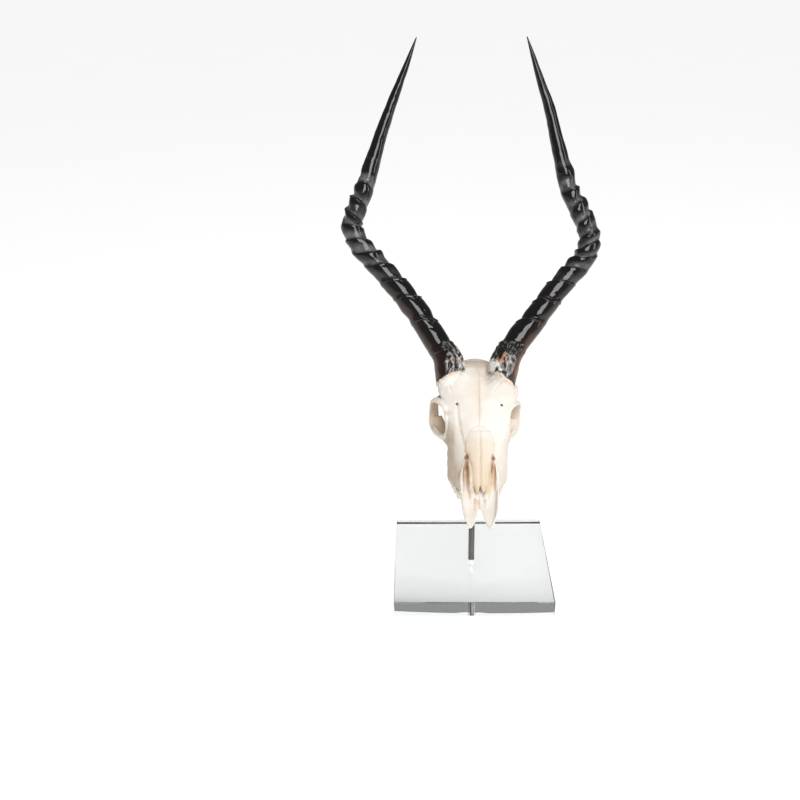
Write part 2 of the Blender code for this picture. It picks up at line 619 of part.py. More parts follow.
def make_rod(parts, cutters, bone, material):
    """The steel rod, from inside the block up into a drilled hole in the skull's base."""
    low = BLOCK_HEIGHT - ROD_DEPTH_IN_BLOCK
    rod = make_cone("rod", (0, 0, 0), (0, 0, 1), low, ROD_TOP, ROD_DIAMETER / 2, ROD_DIAMETER / 2,
                    ROD_SIDES, parts)
    rod.data.materials.append(material)
    drilled = make_cone("rod_hole_in_skull", (0, 0, 0), (0, 0, 1), DRILLED_FROM, ROD_TOP + GAP,
                        ROD_DIAMETER / 2 + GAP, ROD_DIAMETER / 2 + GAP, ROD_SIDES, cutters)
    use_boolean(bone, drilled)
    return rod


def main():
    clear_scene()
    parts = make_collection("impala_skull")
    cutters = make_collection("cutters")
    bone_white = make_material("bone", (0.80, 0.73, 0.62), 0.55)
    horn_black = make_material("polished_horn", (0.012, 0.010, 0.009), 0.12)
    steel = make_material("steel", (0.55, 0.54, 0.52), 0.25, metallic=1.0)
    clear = make_material("clear_acrylic", (0.96, 0.98, 0.98), 0.02, transmission=1.0, ior=1.49)
    enamel = make_material("tooth_enamel", (0.72, 0.64, 0.50), 0.35)

    bone = make_bone(parts, cutters)
    finish_bone(bone)
    to_world(bone)
    bone.data.materials.append(bone_white)
    make_block(parts, cutters, clear)
    make_rod(parts, cutters, bone, steel)
    make_teeth(bone, parts, cutters, enamel)
    horns = (("left", LEFT_HORN, -1, LEFT_RIDGES), ("right", RIGHT_HORN, 1, RIGHT_RIDGES))
    for word, path, side, crests in horns:
        horn = make_horn("horn_" + word, path, side, crests, parts, horn_black)
        seat_horn(bone, horn, path, side, crests, word, cutters)


main()
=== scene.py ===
"""The look of an impala skull with its horns, on a steel rod in a clear block.

The skull is modelled in its own frame, in millimetres: x to the animal's side,
b back from the tips of the premaxillae, d above the plane of the tooth
sockets. POSE places that frame in the world. The horns and the stand are
modelled in the world, in millimetres, and every mesh is scaled to metres.
"""

from math import cos, pi, radians, sin

import bmesh
import bpy
import numpy as np
from mathutils import Euler, Matrix, Vector
from mathutils.bvhtree import BVHTree


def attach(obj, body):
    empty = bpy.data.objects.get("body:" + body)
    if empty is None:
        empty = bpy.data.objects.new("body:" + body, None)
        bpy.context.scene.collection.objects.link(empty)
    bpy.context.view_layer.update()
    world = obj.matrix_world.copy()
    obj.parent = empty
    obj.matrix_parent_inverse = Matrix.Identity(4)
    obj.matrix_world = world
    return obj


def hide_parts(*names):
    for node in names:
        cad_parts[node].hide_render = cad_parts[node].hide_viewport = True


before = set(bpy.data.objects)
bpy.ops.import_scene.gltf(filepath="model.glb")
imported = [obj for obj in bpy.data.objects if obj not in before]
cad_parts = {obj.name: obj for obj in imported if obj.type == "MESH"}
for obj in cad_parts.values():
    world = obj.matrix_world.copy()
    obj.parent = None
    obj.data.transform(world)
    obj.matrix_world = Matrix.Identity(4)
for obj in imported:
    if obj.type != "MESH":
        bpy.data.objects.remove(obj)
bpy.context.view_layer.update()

MM = 0.001
SEED = 11
RIGHT_HORN_SEED = 50

# The pose of the skull's own frame
SKULL_PLACE = (1.75, -161.0, 163.0)
SKULL_TILT = 11.0
SKULL_LEAN = 2.5
SKULL_TURN = 0.5
POSE = Matrix.LocRotScale(
    Vector(SKULL_PLACE),
    Euler((radians(SKULL_TILT), radians(SKULL_LEAN), radians(SKULL_TURN))),
    None,
)

# Fineness of the bone's surface and of the solids that it is made from
BONE_VOXEL = 0.95
BONE_SMOOTHING = 4
BONE_TRIANGLES = 190000
CRANIUM_RINGS = 110
HALF_RING_POINTS = 40
ROUND_POINTS = 48
PLATE_RINGS = 48
PLATE_POINTS = 14
BALL_SEGMENTS = 36
BALL_RINGS = 24

# Shares of its thickness that a plate keeps at its rims
PLATE_TAPER = (0.45, 0.8)
# The orbits and cheek arches both stand this far to one side
ORBIT_SHIFT = -2.5
# Rays that find the hollows of the bone: their number, reach, start above it and spread
OPEN_RAYS = 12
OPEN_REACH = 13.0
OPEN_START = 0.35
OPEN_SPREAD = 0.92

# Half cross-sections of the cranium: (b, [(x, d) from the roof's middle down to the base's middle])
CRANIUM = [
    (49, [(0, 25), (8, 24), (15, 21), (19, 17), (20, 13),
          (20, 9), (19.5, 5), (18, 0), (10, 3), (0, 4)]),
    (62, [(0, 31), (9, 30), (17, 26), (21.5, 21), (23, 16),
          (23.5, 11), (24.6, 6), (24.2, -0.5), (14, 4), (0, 6)]),
    (74, [(0, 38), (9, 37), (17, 34), (22, 29), (26, 23),
          (28.5, 16), (30.4, 8), (30, -0.5), (18, 5), (0, 7)]),
    (86, [(0, 45), (10, 44), (17, 41), (23.5, 36), (29, 29),
          (32.5, 21), (35, 11), (34.5, -0.5), (22, 5), (0, 8)]),
    (100, [(0, 52.5), (11, 52), (19, 49.5), (26, 44), (31.5, 36),
           (34.5, 27), (35.5, 14), (34, 0), (22, 5), (0, 8)]),
    (113, [(0, 59), (12, 58.5), (22, 56), (30, 51), (34.5, 43),
           (36, 32), (35.5, 16), (34, 1), (22, 6), (0, 9)]),
    (125, [(0, 65.5), (13, 65), (26, 62), (36, 57), (38, 50),
           (37, 36), (33, 20), (31, 6), (20, 9), (0, 11)]),
    (136, [(0, 71), (14, 71), (28, 68), (38.5, 63), (35, 57),
           (24, 46), (20, 34), (19, 22), (15, 14), (0, 13)]),
    (148, [(0, 77), (16, 77), (30, 74), (41.5, 68.5), (35, 63),
           (21, 52), (16, 38), (14, 27), (11, 19), (0, 17)]),
    (159, [(0, 81.5), (18, 82), (34, 79), (47, 70.5), (42, 65),
           (22, 55), (17, 42), (15, 32), (12, 23), (0, 21)]),
    (169, [(0, 85), (19, 86.5), (37, 82), (49, 71), (44, 64),
           (27, 57), (21, 45), (17, 35), (13, 26), (0, 24)]),
    (181, [(0, 88.5), (20, 90), (36, 86), (44, 77), (41, 68),
           (33, 60), (28, 48), (21, 37), (13, 28), (0, 25)]),
    (193, [(0, 91), (18, 91), (31, 86), (37, 79), (37, 71),
           (35, 62), (32, 51), (25, 39), (14, 29), (0, 26)]),
    (205, [(0, 90.5), (14, 89), (26, 83), (32, 76), (34.5, 66),
           (34, 55), (30, 44), (22, 35), (12, 28), (0, 27)]),
    (217, [(0, 84.5), (13, 83), (24, 78), (31, 71), (34, 61),
           (34, 51), (31, 42), (23, 34), (13, 29), (0, 28)]),
    (229, [(0, 75.5), (12, 74), (22, 70), (29, 63), (32, 55),
           (32.5, 47), (30, 40), (23, 34), (13, 30), (0, 29)]),
    (238, [(0, 65), (10, 65), (19, 62), (25, 57), (27, 50),
           (26, 44), (23, 39), (18, 35), (10, 32), (0, 32)]),
]

# Bars of bone on the right side: (x, b, d, half width along the first axis, half width across it)
NASAL_BONE = [
    (9, 108, 55, 10.5, 2.2), (8.5, 92, 47, 9.5, 2.2), (7.4, 83, 42.5, 8.1, 2.2), (5.6, 76, 38.8, 6.2, 2.1),
    (4.5, 69, 35, 5.0, 2.0), (4.1, 60, 30.5, 4.5, 1.9), (4.0, 51, 26, 4.3, 1.8), (3.9, 46, 23.6, 3.8, 1.6),
    (3.8, 42, 21.8, 2.6, 1.3), (3.6, 39, 20.4, 1.0, 0.8),
]
PALATINE_PROCESS = [
    (2.4, 27, 3.6, 1.3, 1.2), (2.6, 34, 4.6, 1.5, 1.5), (3, 42, 5.4, 1.6, 1.7), (4, 54, 7, 2.4, 2.0),
]
NASAL_LEDGE = [
    (14.5, 81, 35, 1.6, 4), (12.4, 73, 29.5, 1.5, 6), (11.6, 63, 24.5, 1.5, 7.5), (11.2, 54, 19, 1.5, 7),
    (10, 46, 11.5, 1.7, 5), (8.4, 38, 6, 2, 2.2), (7, 30, 4, 2, 1.4),
]
NASAL_FLOOR = [
    (10.5, 78, 33, 2.8, 4), (9.4, 68, 29, 2.8, 4), (9, 56, 22.5, 2.8, 4), (8.2, 47, 15, 2.8, 3.5),
    (6, 40, 8.5, 3, 2),
]
VOMER = [
    (0, 29.5, 3.2, 1.0, 1.1), (0, 38, 5.6, 3, 2.4), (0, 50, 11, 5.5, 5), (0, 60, 13, 4.5, 7),
    (0, 72, 13, 2, 8), (0, 92, 18, 1.5, 12), (0, 114, 25, 1.5, 14),
]
TURBINATE = [(7.5, 62, 20, 2.2, 4), (8.5, 78, 24, 3.2, 7), (8, 96, 30, 3.4, 8), (6, 112, 36, 3, 7)]
ORBIT_RIM = [
    (35.5, 130, 57, 3.4, 2.6), (34.5, 125, 47, 3.4, 2.6), (36, 126, 36, 3.6, 2.6), (40.2, 133.6, 29, 5, 2.6),
    (45.3, 144.9, 26, 6.5, 2.5), (49, 155.8, 28, 7.5, 2.4), (50, 163.7, 35, 7.6, 2.3),
    (50.5, 167.7, 44, 7.2, 2.4), (50.5, 166.5, 55, 6.6, 2.6), (49.4, 160.5, 62.5, 5.6, 2.8),
    (45, 151.5, 66.5, 4.4, 2.7), (39, 141, 66, 3.5, 2.6),
]
ORBIT_SHELF = [(37, 131, 28, 6, 2), (40, 143, 26, 8, 2), (43, 154, 29, 8.5, 2), (46, 162, 37, 6, 2)]
CHEEK_BAR = [
    (28, 108, 26, 5, 3), (32, 120, 28, 5, 3.4), (38, 132, 27, 4.6, 3), (45, 144, 25.5, 4.2, 2.6),
    (50.5, 157, 27, 4, 2.6), (52.5, 168, 31.5, 3.8, 2.5), (51.5, 180, 34.5, 3.6, 2.4), (48, 191, 37, 3.8, 3),
    (40, 200, 39, 4.5, 4), (30, 207, 41, 5, 5),
]
PTERYGOID_PLATE = [
    (14, 118, 12, 6, 2), (13, 132, 13, 7, 1.8), (12.5, 148, 16, 8, 1.8), (12.5, 166, 22, 8, 2.2),
]
PAROCCIPITAL = [
    (24, 220, 36, 6, 5), (24, 225, 22, 4.2, 3), (22.5, 228, 11, 2.8, 2.2), (21, 229, 4, 1.2, 1.2),
]
NUCHAL_CREST = [
    (-31, 222, 46, 3.5, 3.5), (-29, 229, 60, 3.5, 3.2), (-17, 234, 68, 3.5, 3), (0, 236, 71, 4, 3.2),
    (17, 234, 68, 3.5, 3), (29, 229, 60, 3.5, 3.2), (31, 222, 46, 3.5, 3.5),
]

# Round masses on the right side: (x, b, d), (half sizes)
TOOTH_ROOT_BULGE = ((28.5, 121, 11), (7.5, 14, 11.5))
HEARING_BULLA = ((19, 199, 23), (8, 11, 10.5))
JAW_SOCKET = ((41, 196, 38), (9, 8, 4.5))
NECK_CONDYLE = ((12.5, 239, 33), (7.5, 7.5, 9.5))

# The leaf-shaped premaxilla: (b, [(x, d) of its plate from the outer rim to the inner edge])
PREMAXILLA_THICKNESS = 2.6
PREMAXILLA = [
    (-1.4, [(12.8, 2.2), (12.1, 1.8), (11.4, 1.6), (10.8, 1.6)]),
    (5, [(15.4, 4.5), (13.8, 2.2), (10.8, 1.6), (6.9, 2.2)]),
    (13, [(18.2, 8), (16, 3.4), (11, 2.2), (4.4, 3.2)]),
    (21, [(19.9, 11), (17.6, 4.8), (10.5, 2.8), (2.3, 3.6)]),
    (34, [(20.9, 15), (18.6, 7.2), (12, 4.6), (2.6, 3.9)]),
    (48, [(21.6, 19), (20, 12), (14.5, 9.5), (3.6, 5)]),
    (61, [(21.6, 23.5), (22.2, 18), (19, 14.5), (13, 10)]),
    (71, [(19.5, 29), (23, 23), (24, 12), (20, 5)]),
]

# Hollows: (x, b, d, half width along x, half height)
NASAL_TROUGH = [
    (0, 30, 38, 18.5, 35), (0, 48, 38, 18.2, 34), (0, 62, 40, 18.5, 29), (0, 72, 43, 16.5, 26),
]
SIDE_TROUGH = [
    (14.8, 40, 20, 4.6, 12), (15.6, 52, 26, 4.2, 13), (16.2, 62, 32, 3.9, 13), (16.4, 70, 38, 3, 12),
    (17, 75, 40, 2, 7),
]
NASAL_CAVITY = [(0, 56, 20, 8.4, 9), (0, 80, 24, 9.6, 11), (0, 100, 29, 12, 14), (0, 116, 36, 8, 12)]
NASAL_GAP = [
    (16.2, 86, 50, 3.0, 3.6), (15.8, 82.5, 41, 3.2, 3.8), (14, 79, 33, 2.8, 3.6), (12.4, 74, 26, 1.8, 3.4),
]
CHOANAE = [(0, 118, 9, 8, 5), (0, 132, 11, 9.5, 9), (0, 150, 12, 9.5, 9), (0, 160, 12, 5, 4)]
FORAMEN_MAGNUM = ((0, 243, 40), (9, 18, 8.5))
BROW_FORAMEN = [(26.8, 138, 80, 1.5, 1.5), (26.8, 143, 70, 1.5, 1.5), (26.8, 149, 62, 1.3, 1.3)]

# Cheek teeth: (x, b, half length, half width)
TOOTH_ROW = [(21.6, 64, 4.6, 4.4), (24.8, 73, 4.8, 4.7), (27.4, 82.4, 4.9, 4.9),
             (29.2, 93.2, 5.9, 5.6), (29.8, 105.8, 6.2, 5.8), (28.8, 118.2, 6.0, 5.4)]
TOOTH_HEIGHT = 12.5
TOOTH_IN_BONE = 4.0
TOOTH_GAP = 0.3
GROOVE_HALF_WIDTH = 5.8
GROOVE_LOW = -8
GROOVE_OVERRUN = 0.62
TOOTH_SIDES = 72
TOOTH_LEVELS = 22

# Sutures seen from above, on one side: (x, b)
NASAL_EDGE = [(0, 114.5), (6, 113), (11, 109), (15.5, 100.5), (17.4, 92), (18.2, 84)]
CORONAL = [(0, 187.5), (8, 187), (15, 184), (22, 180.5), (29, 178)]
BROW_GROOVE = [(26.8, 141), (25.8, 128), (24.3, 119.5), (22.6, 110), (18.9, 96)]
LACRIMAL_EDGE = [(19, 104), (25, 112), (32, 119), (38, 127)]
# Sutures seen from the side: (b, d)
CHEEK_EDGE = [(128, 48), (119, 40), (110, 33), (102, 24), (98, 14)]
SNOUT_EDGE = [(79, 35), (72, 27), (66, 18), (61, 8)]

# Horn centre lines in the world, from the base to the tip
LEFT_HORN = [
    (-30.9, 4.2, 283), (-33.2, 14, 299.5), (-46.5, 27, 317), (-64.5, 43.5, 341), (-86, 60, 366),
    (-110, 76, 390), (-130, 88, 409), (-144.5, 98, 426), (-149.5, 106, 441), (-145.5, 113, 456),
    (-135.5, 123.5, 480), (-128, 132, 502), (-115.5, 145, 540), (-100, 156, 581), (-82, 164, 624),
    (-68.3, 168, 659),
]
RIGHT_HORN = [
    (35.6, 3.6, 280.5), (41, 14, 299.5), (54.5, 26.5, 317), (76.5, 43, 340), (99, 59.5, 365), (123, 75, 388),
    (136.5, 83, 401), (144.5, 92, 416.5), (144, 100.5, 432), (136.5, 109, 449), (127, 117, 466),
    (120, 124, 480), (114.5, 132, 501), (107, 142, 530), (97, 153, 569), (81.5, 162, 614), (66, 168, 658.3),
]
# (share of the horn's length, diameter of the horn between its ridges)
HORN_DIAMETERS = [
    (0, 34), (0.03, 33.5), (0.08, 29.5), (0.2, 27), (0.33, 25.5), (0.42, 24.5), (0.52, 22.5), (0.6, 20.5),
    (0.68, 18.5), (0.77, 15.2), (0.87, 10.5), (0.95, 5.6), (0.985, 2.6), (1, 1.2),
]
HORN_RINGS = 640
HORN_SIDES = 76
HORN_FRONT = (0.0, -1.0, 0.35)
PATH_STEPS = 1200
# Shares of a horn's length where its ridges have their rims
LEFT_RIDGES = (0.062, 0.151, 0.229, 0.290, 0.350, 0.396, 0.434, 0.476, 0.509, 0.544, 0.589, 0.642)
RIGHT_RIDGES = (0.072, 0.159, 0.234, 0.294, 0.344, 0.383, 0.415, 0.450, 0.491, 0.533, 0.580, 0.638)
LOW_FALL = 0.26
HIGH_FALL = 0.34
RIDGE_WEAK_SIDE = 0.25
# (share of the length, height of the ridges there)
RIDGE_HEIGHTS = [(0, 3.0), (0.2, 4.3), (0.3, 4.4), (0.4, 4.8), (0.56, 5.2), (0.61, 3.6), (0.65, 1.8)]
# (share of the length, degrees from the front towards the other horn where the ridges stand highest)
RIDGE_FACING = [(0, 50), (0.36, 45), (0.46, 0), (0.55, -55), (0.7, -70)]
# The frayed base of each horn: the angle it faces, the shares of the length where it begins and is full,
# the angle and height of its torn lobe, how pale the lobe is and how strong the copper stain
LEFT_FRAY = (1.05, 0.075, 0.03, 1.3, 2.0, 0.1, 0.35)
RIGHT_FRAY = (0.65, 0.11, 0.06, 0.95, 6.0, 0.45, 1.0)
# (share of the length, degrees by which a ring drops on the side of the other horn)
RING_SLANT = [(0, -28), (0.06, 4), (0.13, 32), (0.4, 35), (0.5, 25), (0.6, 10), (0.68, 0), (1, 0)]
CORE_DEPTH = 12.0
CORE_ROOT = 14.0
CORE_RADIUS = 12.5
CORE_TIP_RADIUS = 9.5
CORE_ROOM = 0.4
CORE_SIDES = 40
# The hollow of a horn from its lip inwards: (depth, radius)
HORN_HOLLOW = [
    (0.0, 15.5), (0.0, CORE_RADIUS + CORE_ROOM), (CORE_DEPTH / 2, 11 + CORE_ROOM),
    (CORE_DEPTH + CORE_ROOM, CORE_TIP_RADIUS + CORE_ROOM), (CORE_DEPTH + CORE_ROOM, 1.0),
]
# The stump of bone that carries a horn: (depth, radius)
PEDICLE = [(-12, 13.0), (-7, 15.0), (-3, 16.2), (-0.5, 16.6)]
# The seat cut for a horn: shares of its length, room round it and how far it starts below
SEAT_SHARES = (0.0, 0.012, 0.022, 0.035, 0.05, 0.068)
SEAT_ROOM = 1.4
SEAT_DROP = -0.4

# Clear block and rod
BLOCK_SIDE = 200.0
BLOCK_HEIGHT = 20.0
BLOCK_EDGE = 0.8
BLOCK_SHARP = 20
ROD_RADIUS = 4.0
ROD_FOOT = 5.0
ROD_TOP = 238.0
ROD_EDGE = 0.5
ROD_SHARP = 30
HOLE_ROOM = 0.15
DRILLED_FROM = 140
DRILLED_SIDES = 40
ROD_RINGS = 60
ROD_RING_DEPTH = 0.01
ROD_PLAIN_END = 4.0
MOUTH_ROOM = 0.6
MOUTH_EDGE = 0.3
DRILL_POINT_RADIUS = 0.4
DRILL_POINT_DEPTH = 1.6
DRILL_OVERRUN = 4.0

# The camera: place in metres, angles in degrees, lens for a 36 mm sensor
CAMERA_PLACE = (-0.0634, -1.2214, 0.8080)
CAMERA_PITCH = 24.544
CAMERA_YAW = -1.291
CAMERA_ROLL = 0.821
CAMERA_LENS = 49.0
SENSOR_WIDTH = 36.0

# Floor and lights: sizes and places in metres; a softbox has its place, width, height and power in watts
FLOOR_SIZE = 40.0
FLOOR_PLACE = (0, 2.0, -0.0002)
LIGHT_TARGET = (0.0, 0.0, 0.32)
WORLD_STRENGTH = 0.27
SOFTBOXES = {
    "key": ((0.30, -1.4, 1.45), 1.0, 1.35, 31),
    "fill": ((1.5, -0.5, 0.9), 0.3, 1.2, 5),
    "top": ((0.3, 0.35, 2.3), 1.3, 0.8, 9),
}


# Curves, tables and noise

def curve_through(points, where):
    """Read a smooth curve through the rows of points, at shares of its length."""
    points = np.asarray(points, float)
    steps = np.linalg.norm(np.diff(points[:, :3], axis=0), axis=1)
    knots = np.concatenate([[0.0], np.cumsum(steps)]) / steps.sum()
    return smooth_between(knots, points, where)


def smooth_between(knots, rows, where):
    """Rows of values between knots, with no corners at the knots."""
    slopes = np.gradient(rows, knots, axis=0)
    where = np.clip(np.asarray(where, float), 0.0, 1.0)
    span = np.clip(np.searchsorted(knots, where, side="right") - 1, 0, len(knots) - 2)
    shape = (-1,) + (1,) * (rows.ndim - 1)
    width = (knots[span + 1] - knots[span]).reshape(shape)
    u = (where - knots[span]).reshape(shape) / width
    return (
        (2 * u**3 - 3 * u**2 + 1) * rows[span]
        + (u**3 - 2 * u**2 + u) * width * slopes[span]
        + (3 * u**2 - 2 * u**3) * rows[span + 1]
        + (u**3 - u**2) * width * slopes[span + 1]
    )


def read_table(table, share):
    rows = np.array(table, float)
    return np.interp(share, rows[:, 0], rows[:, 1])


def lattice(cells, seed):
    """A repeatable value from -1 to 1 for each cell of a grid."""
    cells = cells.astype(np.int64)
    mixed = cells[..., 0] * 73856093 ^ cells[..., 1] * 19349663 ^ cells[..., 2] * 83492791 ^ seed * 2654435
    mixed = (mixed ^ (mixed >> 13)) * 1274126177 & 0x7FFFFFFF
    mixed = (mixed ^ (mixed >> 11)) * 48271 & 0x7FFFFFFF
    return mixed / 0x3FFFFFFF - 1.0


def noise(points, size, seed=0, octaves=1):
    """Smooth noise from -1 to 1 with lumps of that size."""
    points = np.asarray(points, float)
    total = np.zeros(points.shape[:-1])
    strength = 1.0
    whole = 0.0
    for octave in range(octaves):
        place = points / size * 2**octave
        low = np.floor(place)
        part = place - low
        part = part * part * (3 - 2 * part)
        value = 0.0
        for corner in range(8):
            step = np.array([corner & 1, corner >> 1 & 1, corner >> 2 & 1])
            share = np.prod(np.where(step == 1, part, 1 - part), axis=-1)
            value = value + share * lattice(low + step, seed + octave * 17)
        total += value * strength
        whole += strength
        strength *= 0.5
    return total / whole


def bump_shape(value, width):
    return np.exp(-((value / width) ** 2))


def soft_step(value, low, high):
    t = np.clip((value - low) / (high - low), 0, 1)
    return t * t * (3 - 2 * t)


def window(value, start, full, end, gone):
    """1 from full to end, falling softly to 0 at start and at gone."""
    return soft_step(value, start, full) * soft_step(value, gone, end)


def line_distance(points, line):
    """The distance of flat points from a line of corners, and where along it from 0 to 1."""
    best = np.full(len(points), 1e9)
    share = np.zeros(len(points))
    line = np.array(line, float)
    for number, (start, end) in enumerate(zip(line, line[1:])):
        run = end - start
        t = np.clip((points - start) @ run / run.dot(run), 0, 1)
        away = np.linalg.norm(points - start - t[:, None] * run, axis=1)
        closer = away < best
        best[closer] = away[closer]
        share[closer] = ((number + t) / (len(line) - 1))[closer]
    return best, share


def unit(vectors):
    return vectors / np.linalg.norm(vectors, axis=-1, keepdims=True)


# Meshes

def put_in_scene(name, data):
    thing = bpy.data.objects.new(name, data)
    bpy.context.scene.collection.objects.link(thing)
    return thing


def add_mesh_object(name, bm):
    bmesh.ops.recalc_face_normals(bm, faces=bm.faces[:])
    mesh = bpy.data.meshes.new(name)
    bm.to_mesh(mesh)
    bm.free()
    return put_in_scene(name, mesh)


def bake_modifiers(thing):
    graph = bpy.context.evaluated_depsgraph_get()
    mesh = bpy.data.meshes.new_from_object(thing.evaluated_get(graph))
    thing.modifiers.clear()
    thing.data = mesh


def read_points(mesh):
    co = np.zeros(len(mesh.vertices) * 3)
    mesh.vertices.foreach_get("co", co)
    return co.reshape(-1, 3)


def read_normals(mesh):
    normals = np.zeros(len(mesh.vertices) * 3, np.float32)
    mesh.vertex_normals.foreach_get("vector", normals)
    return normals.reshape(-1, 3).astype(float)


def write_points(mesh, points):
    mesh.vertices.foreach_set("co", np.ascontiguousarray(points, np.float32).ravel())
    mesh.update()


def paint(mesh, name, values):
    """Keep a value from 0 to 1 for each point, for the material to read."""
    attribute = mesh.attributes.new(name, "FLOAT", "POINT")
    attribute.data.foreach_set("value", np.clip(values, 0, 1).astype(np.float32))


def add_rings(bm, rings, closed_path=False):
    """Join rings of points into a tube, with a face on each end."""
    rows = [[bm.verts.new(Vector(point)) for point in ring] for ring in rings]
    pairs = list(zip(rows, rows[1:]))
    if closed_path:
        pairs.append((rows[-1], rows[0]))
    for here, there in pairs:
        for i in range(len(here)):
            j = (i + 1) % len(here)
            bm.faces.new((here[i], here[j], there[j], there[i]))
    if not closed_path:
        bm.faces.new(list(reversed(rows[0])))
        bm.faces.new(rows[-1])


def ring_solid(name, rings):
    """A smooth closed object through rings of points; its points keep the rings' order."""
    bm = bmesh.new()
    add_rings(bm, rings)
    thing = add_mesh_object(name, bm)
    thing.data.shade_smooth()
    return thing


def add_bar(bm, stations, axis, side=1, shift=0.0, sides=20, count=40, closed_path=False):
    """A bar of elliptical section; axis is the direction of its first half width."""
    stations = [((x * side + shift), b, d, p, q) for x, b, d, p, q in stations]
    if closed_path:
        stations.append(stations[0])
    rows = curve_through(stations, np.linspace(0, 1, count))
    centres = rows[:, :3]
    ahead = np.gradient(centres, axis=0)
    if closed_path:
        ahead[0] = ahead[-1] = centres[1] - centres[-2]
        rows, centres, ahead = rows[:-1], centres[:-1], ahead[:-1]
    rings = []
    for row, centre, along in zip(rows, centres, ahead):
        along = unit(along)
        first = np.array(axis, float) * (side, 1, 1)
        first = unit(first - along * first.dot(along))
        second = np.cross(along, first)
        angles = np.arange(sides) * 2 * pi / sides
        rings.append([centre + row[3] * cos(a) * first + row[4] * sin(a) * second for a in angles])
    add_rings(bm, rings, closed_path)


def station_shares(stations):
    """Where the stations lie between the first and the last, from 0 to 1."""
    places = np.array([b for b, _ in stations], float)
    return (places - places[0]) / (places[-1] - places[0])


def add_plate(bm, stations, thickness, side=1):
    """A bent plate: at each b, a line of points with half the thickness on each side."""
    lines = np.array([[(x, b, d) for x, d in line] for b, line in stations], float)
    full = [1] * (PLATE_POINTS - 2 * len(PLATE_TAPER))
    thin = thickness / 2 * np.array([*PLATE_TAPER, *full, *PLATE_TAPER[::-1]])[:, None]
    rings = []
    for line in smooth_between(station_shares(stations), lines, np.linspace(0, 1, PLATE_RINGS)):
        points = curve_through(line, np.linspace(0, 1, PLATE_POINTS))
        along = unit(np.gradient(points[:, [0, 2]], axis=0))
        across = np.zeros_like(points)
        across[:, [0, 2]] = np.stack([-along[:, 1], along[:, 0]], 1) * thin
        outline = np.concatenate([points + across, (points - across)[::-1]])
        outline[:, 0] *= side
        rings.append(outline)
    add_rings(bm, rings)


def add_ball(bm, centre, half_sizes, side=1):
    made = bmesh.ops.create_uvsphere(bm, u_segments=BALL_SEGMENTS, v_segments=BALL_RINGS, radius=1.0)
    place = Matrix.Translation((centre[0] * side, centre[1], centre[2])) @ Matrix.Diagonal((*half_sizes, 1))
    bmesh.ops.transform(bm, matrix=place, verts=made["verts"])


def add_cranium(bm):
    """The loft of the face and the braincase, through its half sections."""
    first, last = CRANIUM[0][0], CRANIUM[-1][0]
    wanted = np.linspace(0, 1, CRANIUM_RINGS)
    halves = np.array([line for _, line in CRANIUM], float)
    rings = []
    for share, line in zip(wanted, smooth_between(station_shares(CRANIUM), halves, wanted)):
        b = first + share * (last - first)
        half = curve_through(line, np.linspace(0, 1, HALF_RING_POINTS))
        half[0, 0] = 0.0
        half[-1, 0] = 0.0
        ring = [(x, b, d) for x, d in half] + [(-x, b, d) for x, d in half[-2:0:-1]]
        rings.append(ring)
    add_rings(bm, rings)


# Horns

class HornPath:
    """A horn's centre line with a front and a side direction at every share of its length."""

    def __init__(self, points, side):
        self.side = side
        self.shares = np.linspace(0, 1, PATH_STEPS)
        self.centres = curve_through(points, self.shares)
        self.along = unit(np.gradient(self.centres, axis=0))
        ahead = np.array(HORN_FRONT)
        self.front = unit(ahead - self.along * (self.along @ ahead)[:, None])
        self.inward = -side * np.cross(self.along, self.front)
        self.length = np.linalg.norm(np.diff(np.array(points, float), axis=0), axis=1).sum()

    def read(self, rows, share):
        return np.stack([np.interp(share, self.shares, rows[:, k]) for k in range(3)], -1)

    def place(self, share, angle, size, lift=0.0):
        """Points at that share of the length, angle from the front and distance from the middle."""
        below = np.minimum(share, 0.0) * self.length
        sideways = self.read(self.front, share) * np.cos(angle)[..., None]
        sideways = sideways + self.read(self.inward, share) * np.sin(angle)[..., None]
        ahead = self.read(self.along, share) * (below + lift)[..., None]
        return self.read(self.centres, share) + ahead + sideways * np.asarray(size)[..., None]

    def slanted(self, share, angle, size):
        """The share of the length that a slanted ring reaches at that angle."""
        drop = np.tan(np.radians(read_table(RING_SLANT, share)))
        return share - drop * size * np.sin(angle) / self.length


def ridge_field(crests, share, angle, seed):
    """Height from 0 to 1 of the ridges: long barrels near the base, cups with a sharp rim higher up."""
    crests = np.array(crests)
    knots = np.concatenate([[crests[0] - 0.9 * (crests[1] - crests[0])], crests, [1.2]])
    chance = np.random.default_rng(seed)
    height = np.concatenate([[0.0], chance.uniform(0.78, 1.0, len(crests)), [0.0]])
    wave = chance.uniform(0, 2 * pi, len(knots))
    band = np.clip(np.searchsorted(knots, share, side="right") - 1, 0, len(knots) - 2)
    width = np.minimum(knots[band + 1] - knots[band], 0.1)
    t = np.clip((share - knots[band]) / width, 0, 1)
    t = np.where(share < knots[0], 0, t)
    high = soft_step(share, 0.22, 0.42)
    ledge = LOW_FALL + (HIGH_FALL - LOW_FALL) * high
    fall = 1 - soft_step(t / ledge, 0, 1)
    up = np.clip((t / ledge - 0.7) / (1 / ledge - 0.7), 0, 1)
    cup = soft_step(up, 0, 1) ** 0.9
    barrel = 0.4 * (1 - np.abs(2 * up - 1) ** 2) + 0.6 * up
    shape = barrel + (cup - barrel) * high
    below = height[np.clip(band, 0, len(height) - 1)] * fall
    here = height[np.clip(band + 1, 0, len(height) - 1)] * shape
    lobes = 0.87 + 0.08 * np.sin(2 * angle + wave[band]) + 0.05 * np.sin(4 * angle + 2 * wave[band])
    return (below + here) * lobes


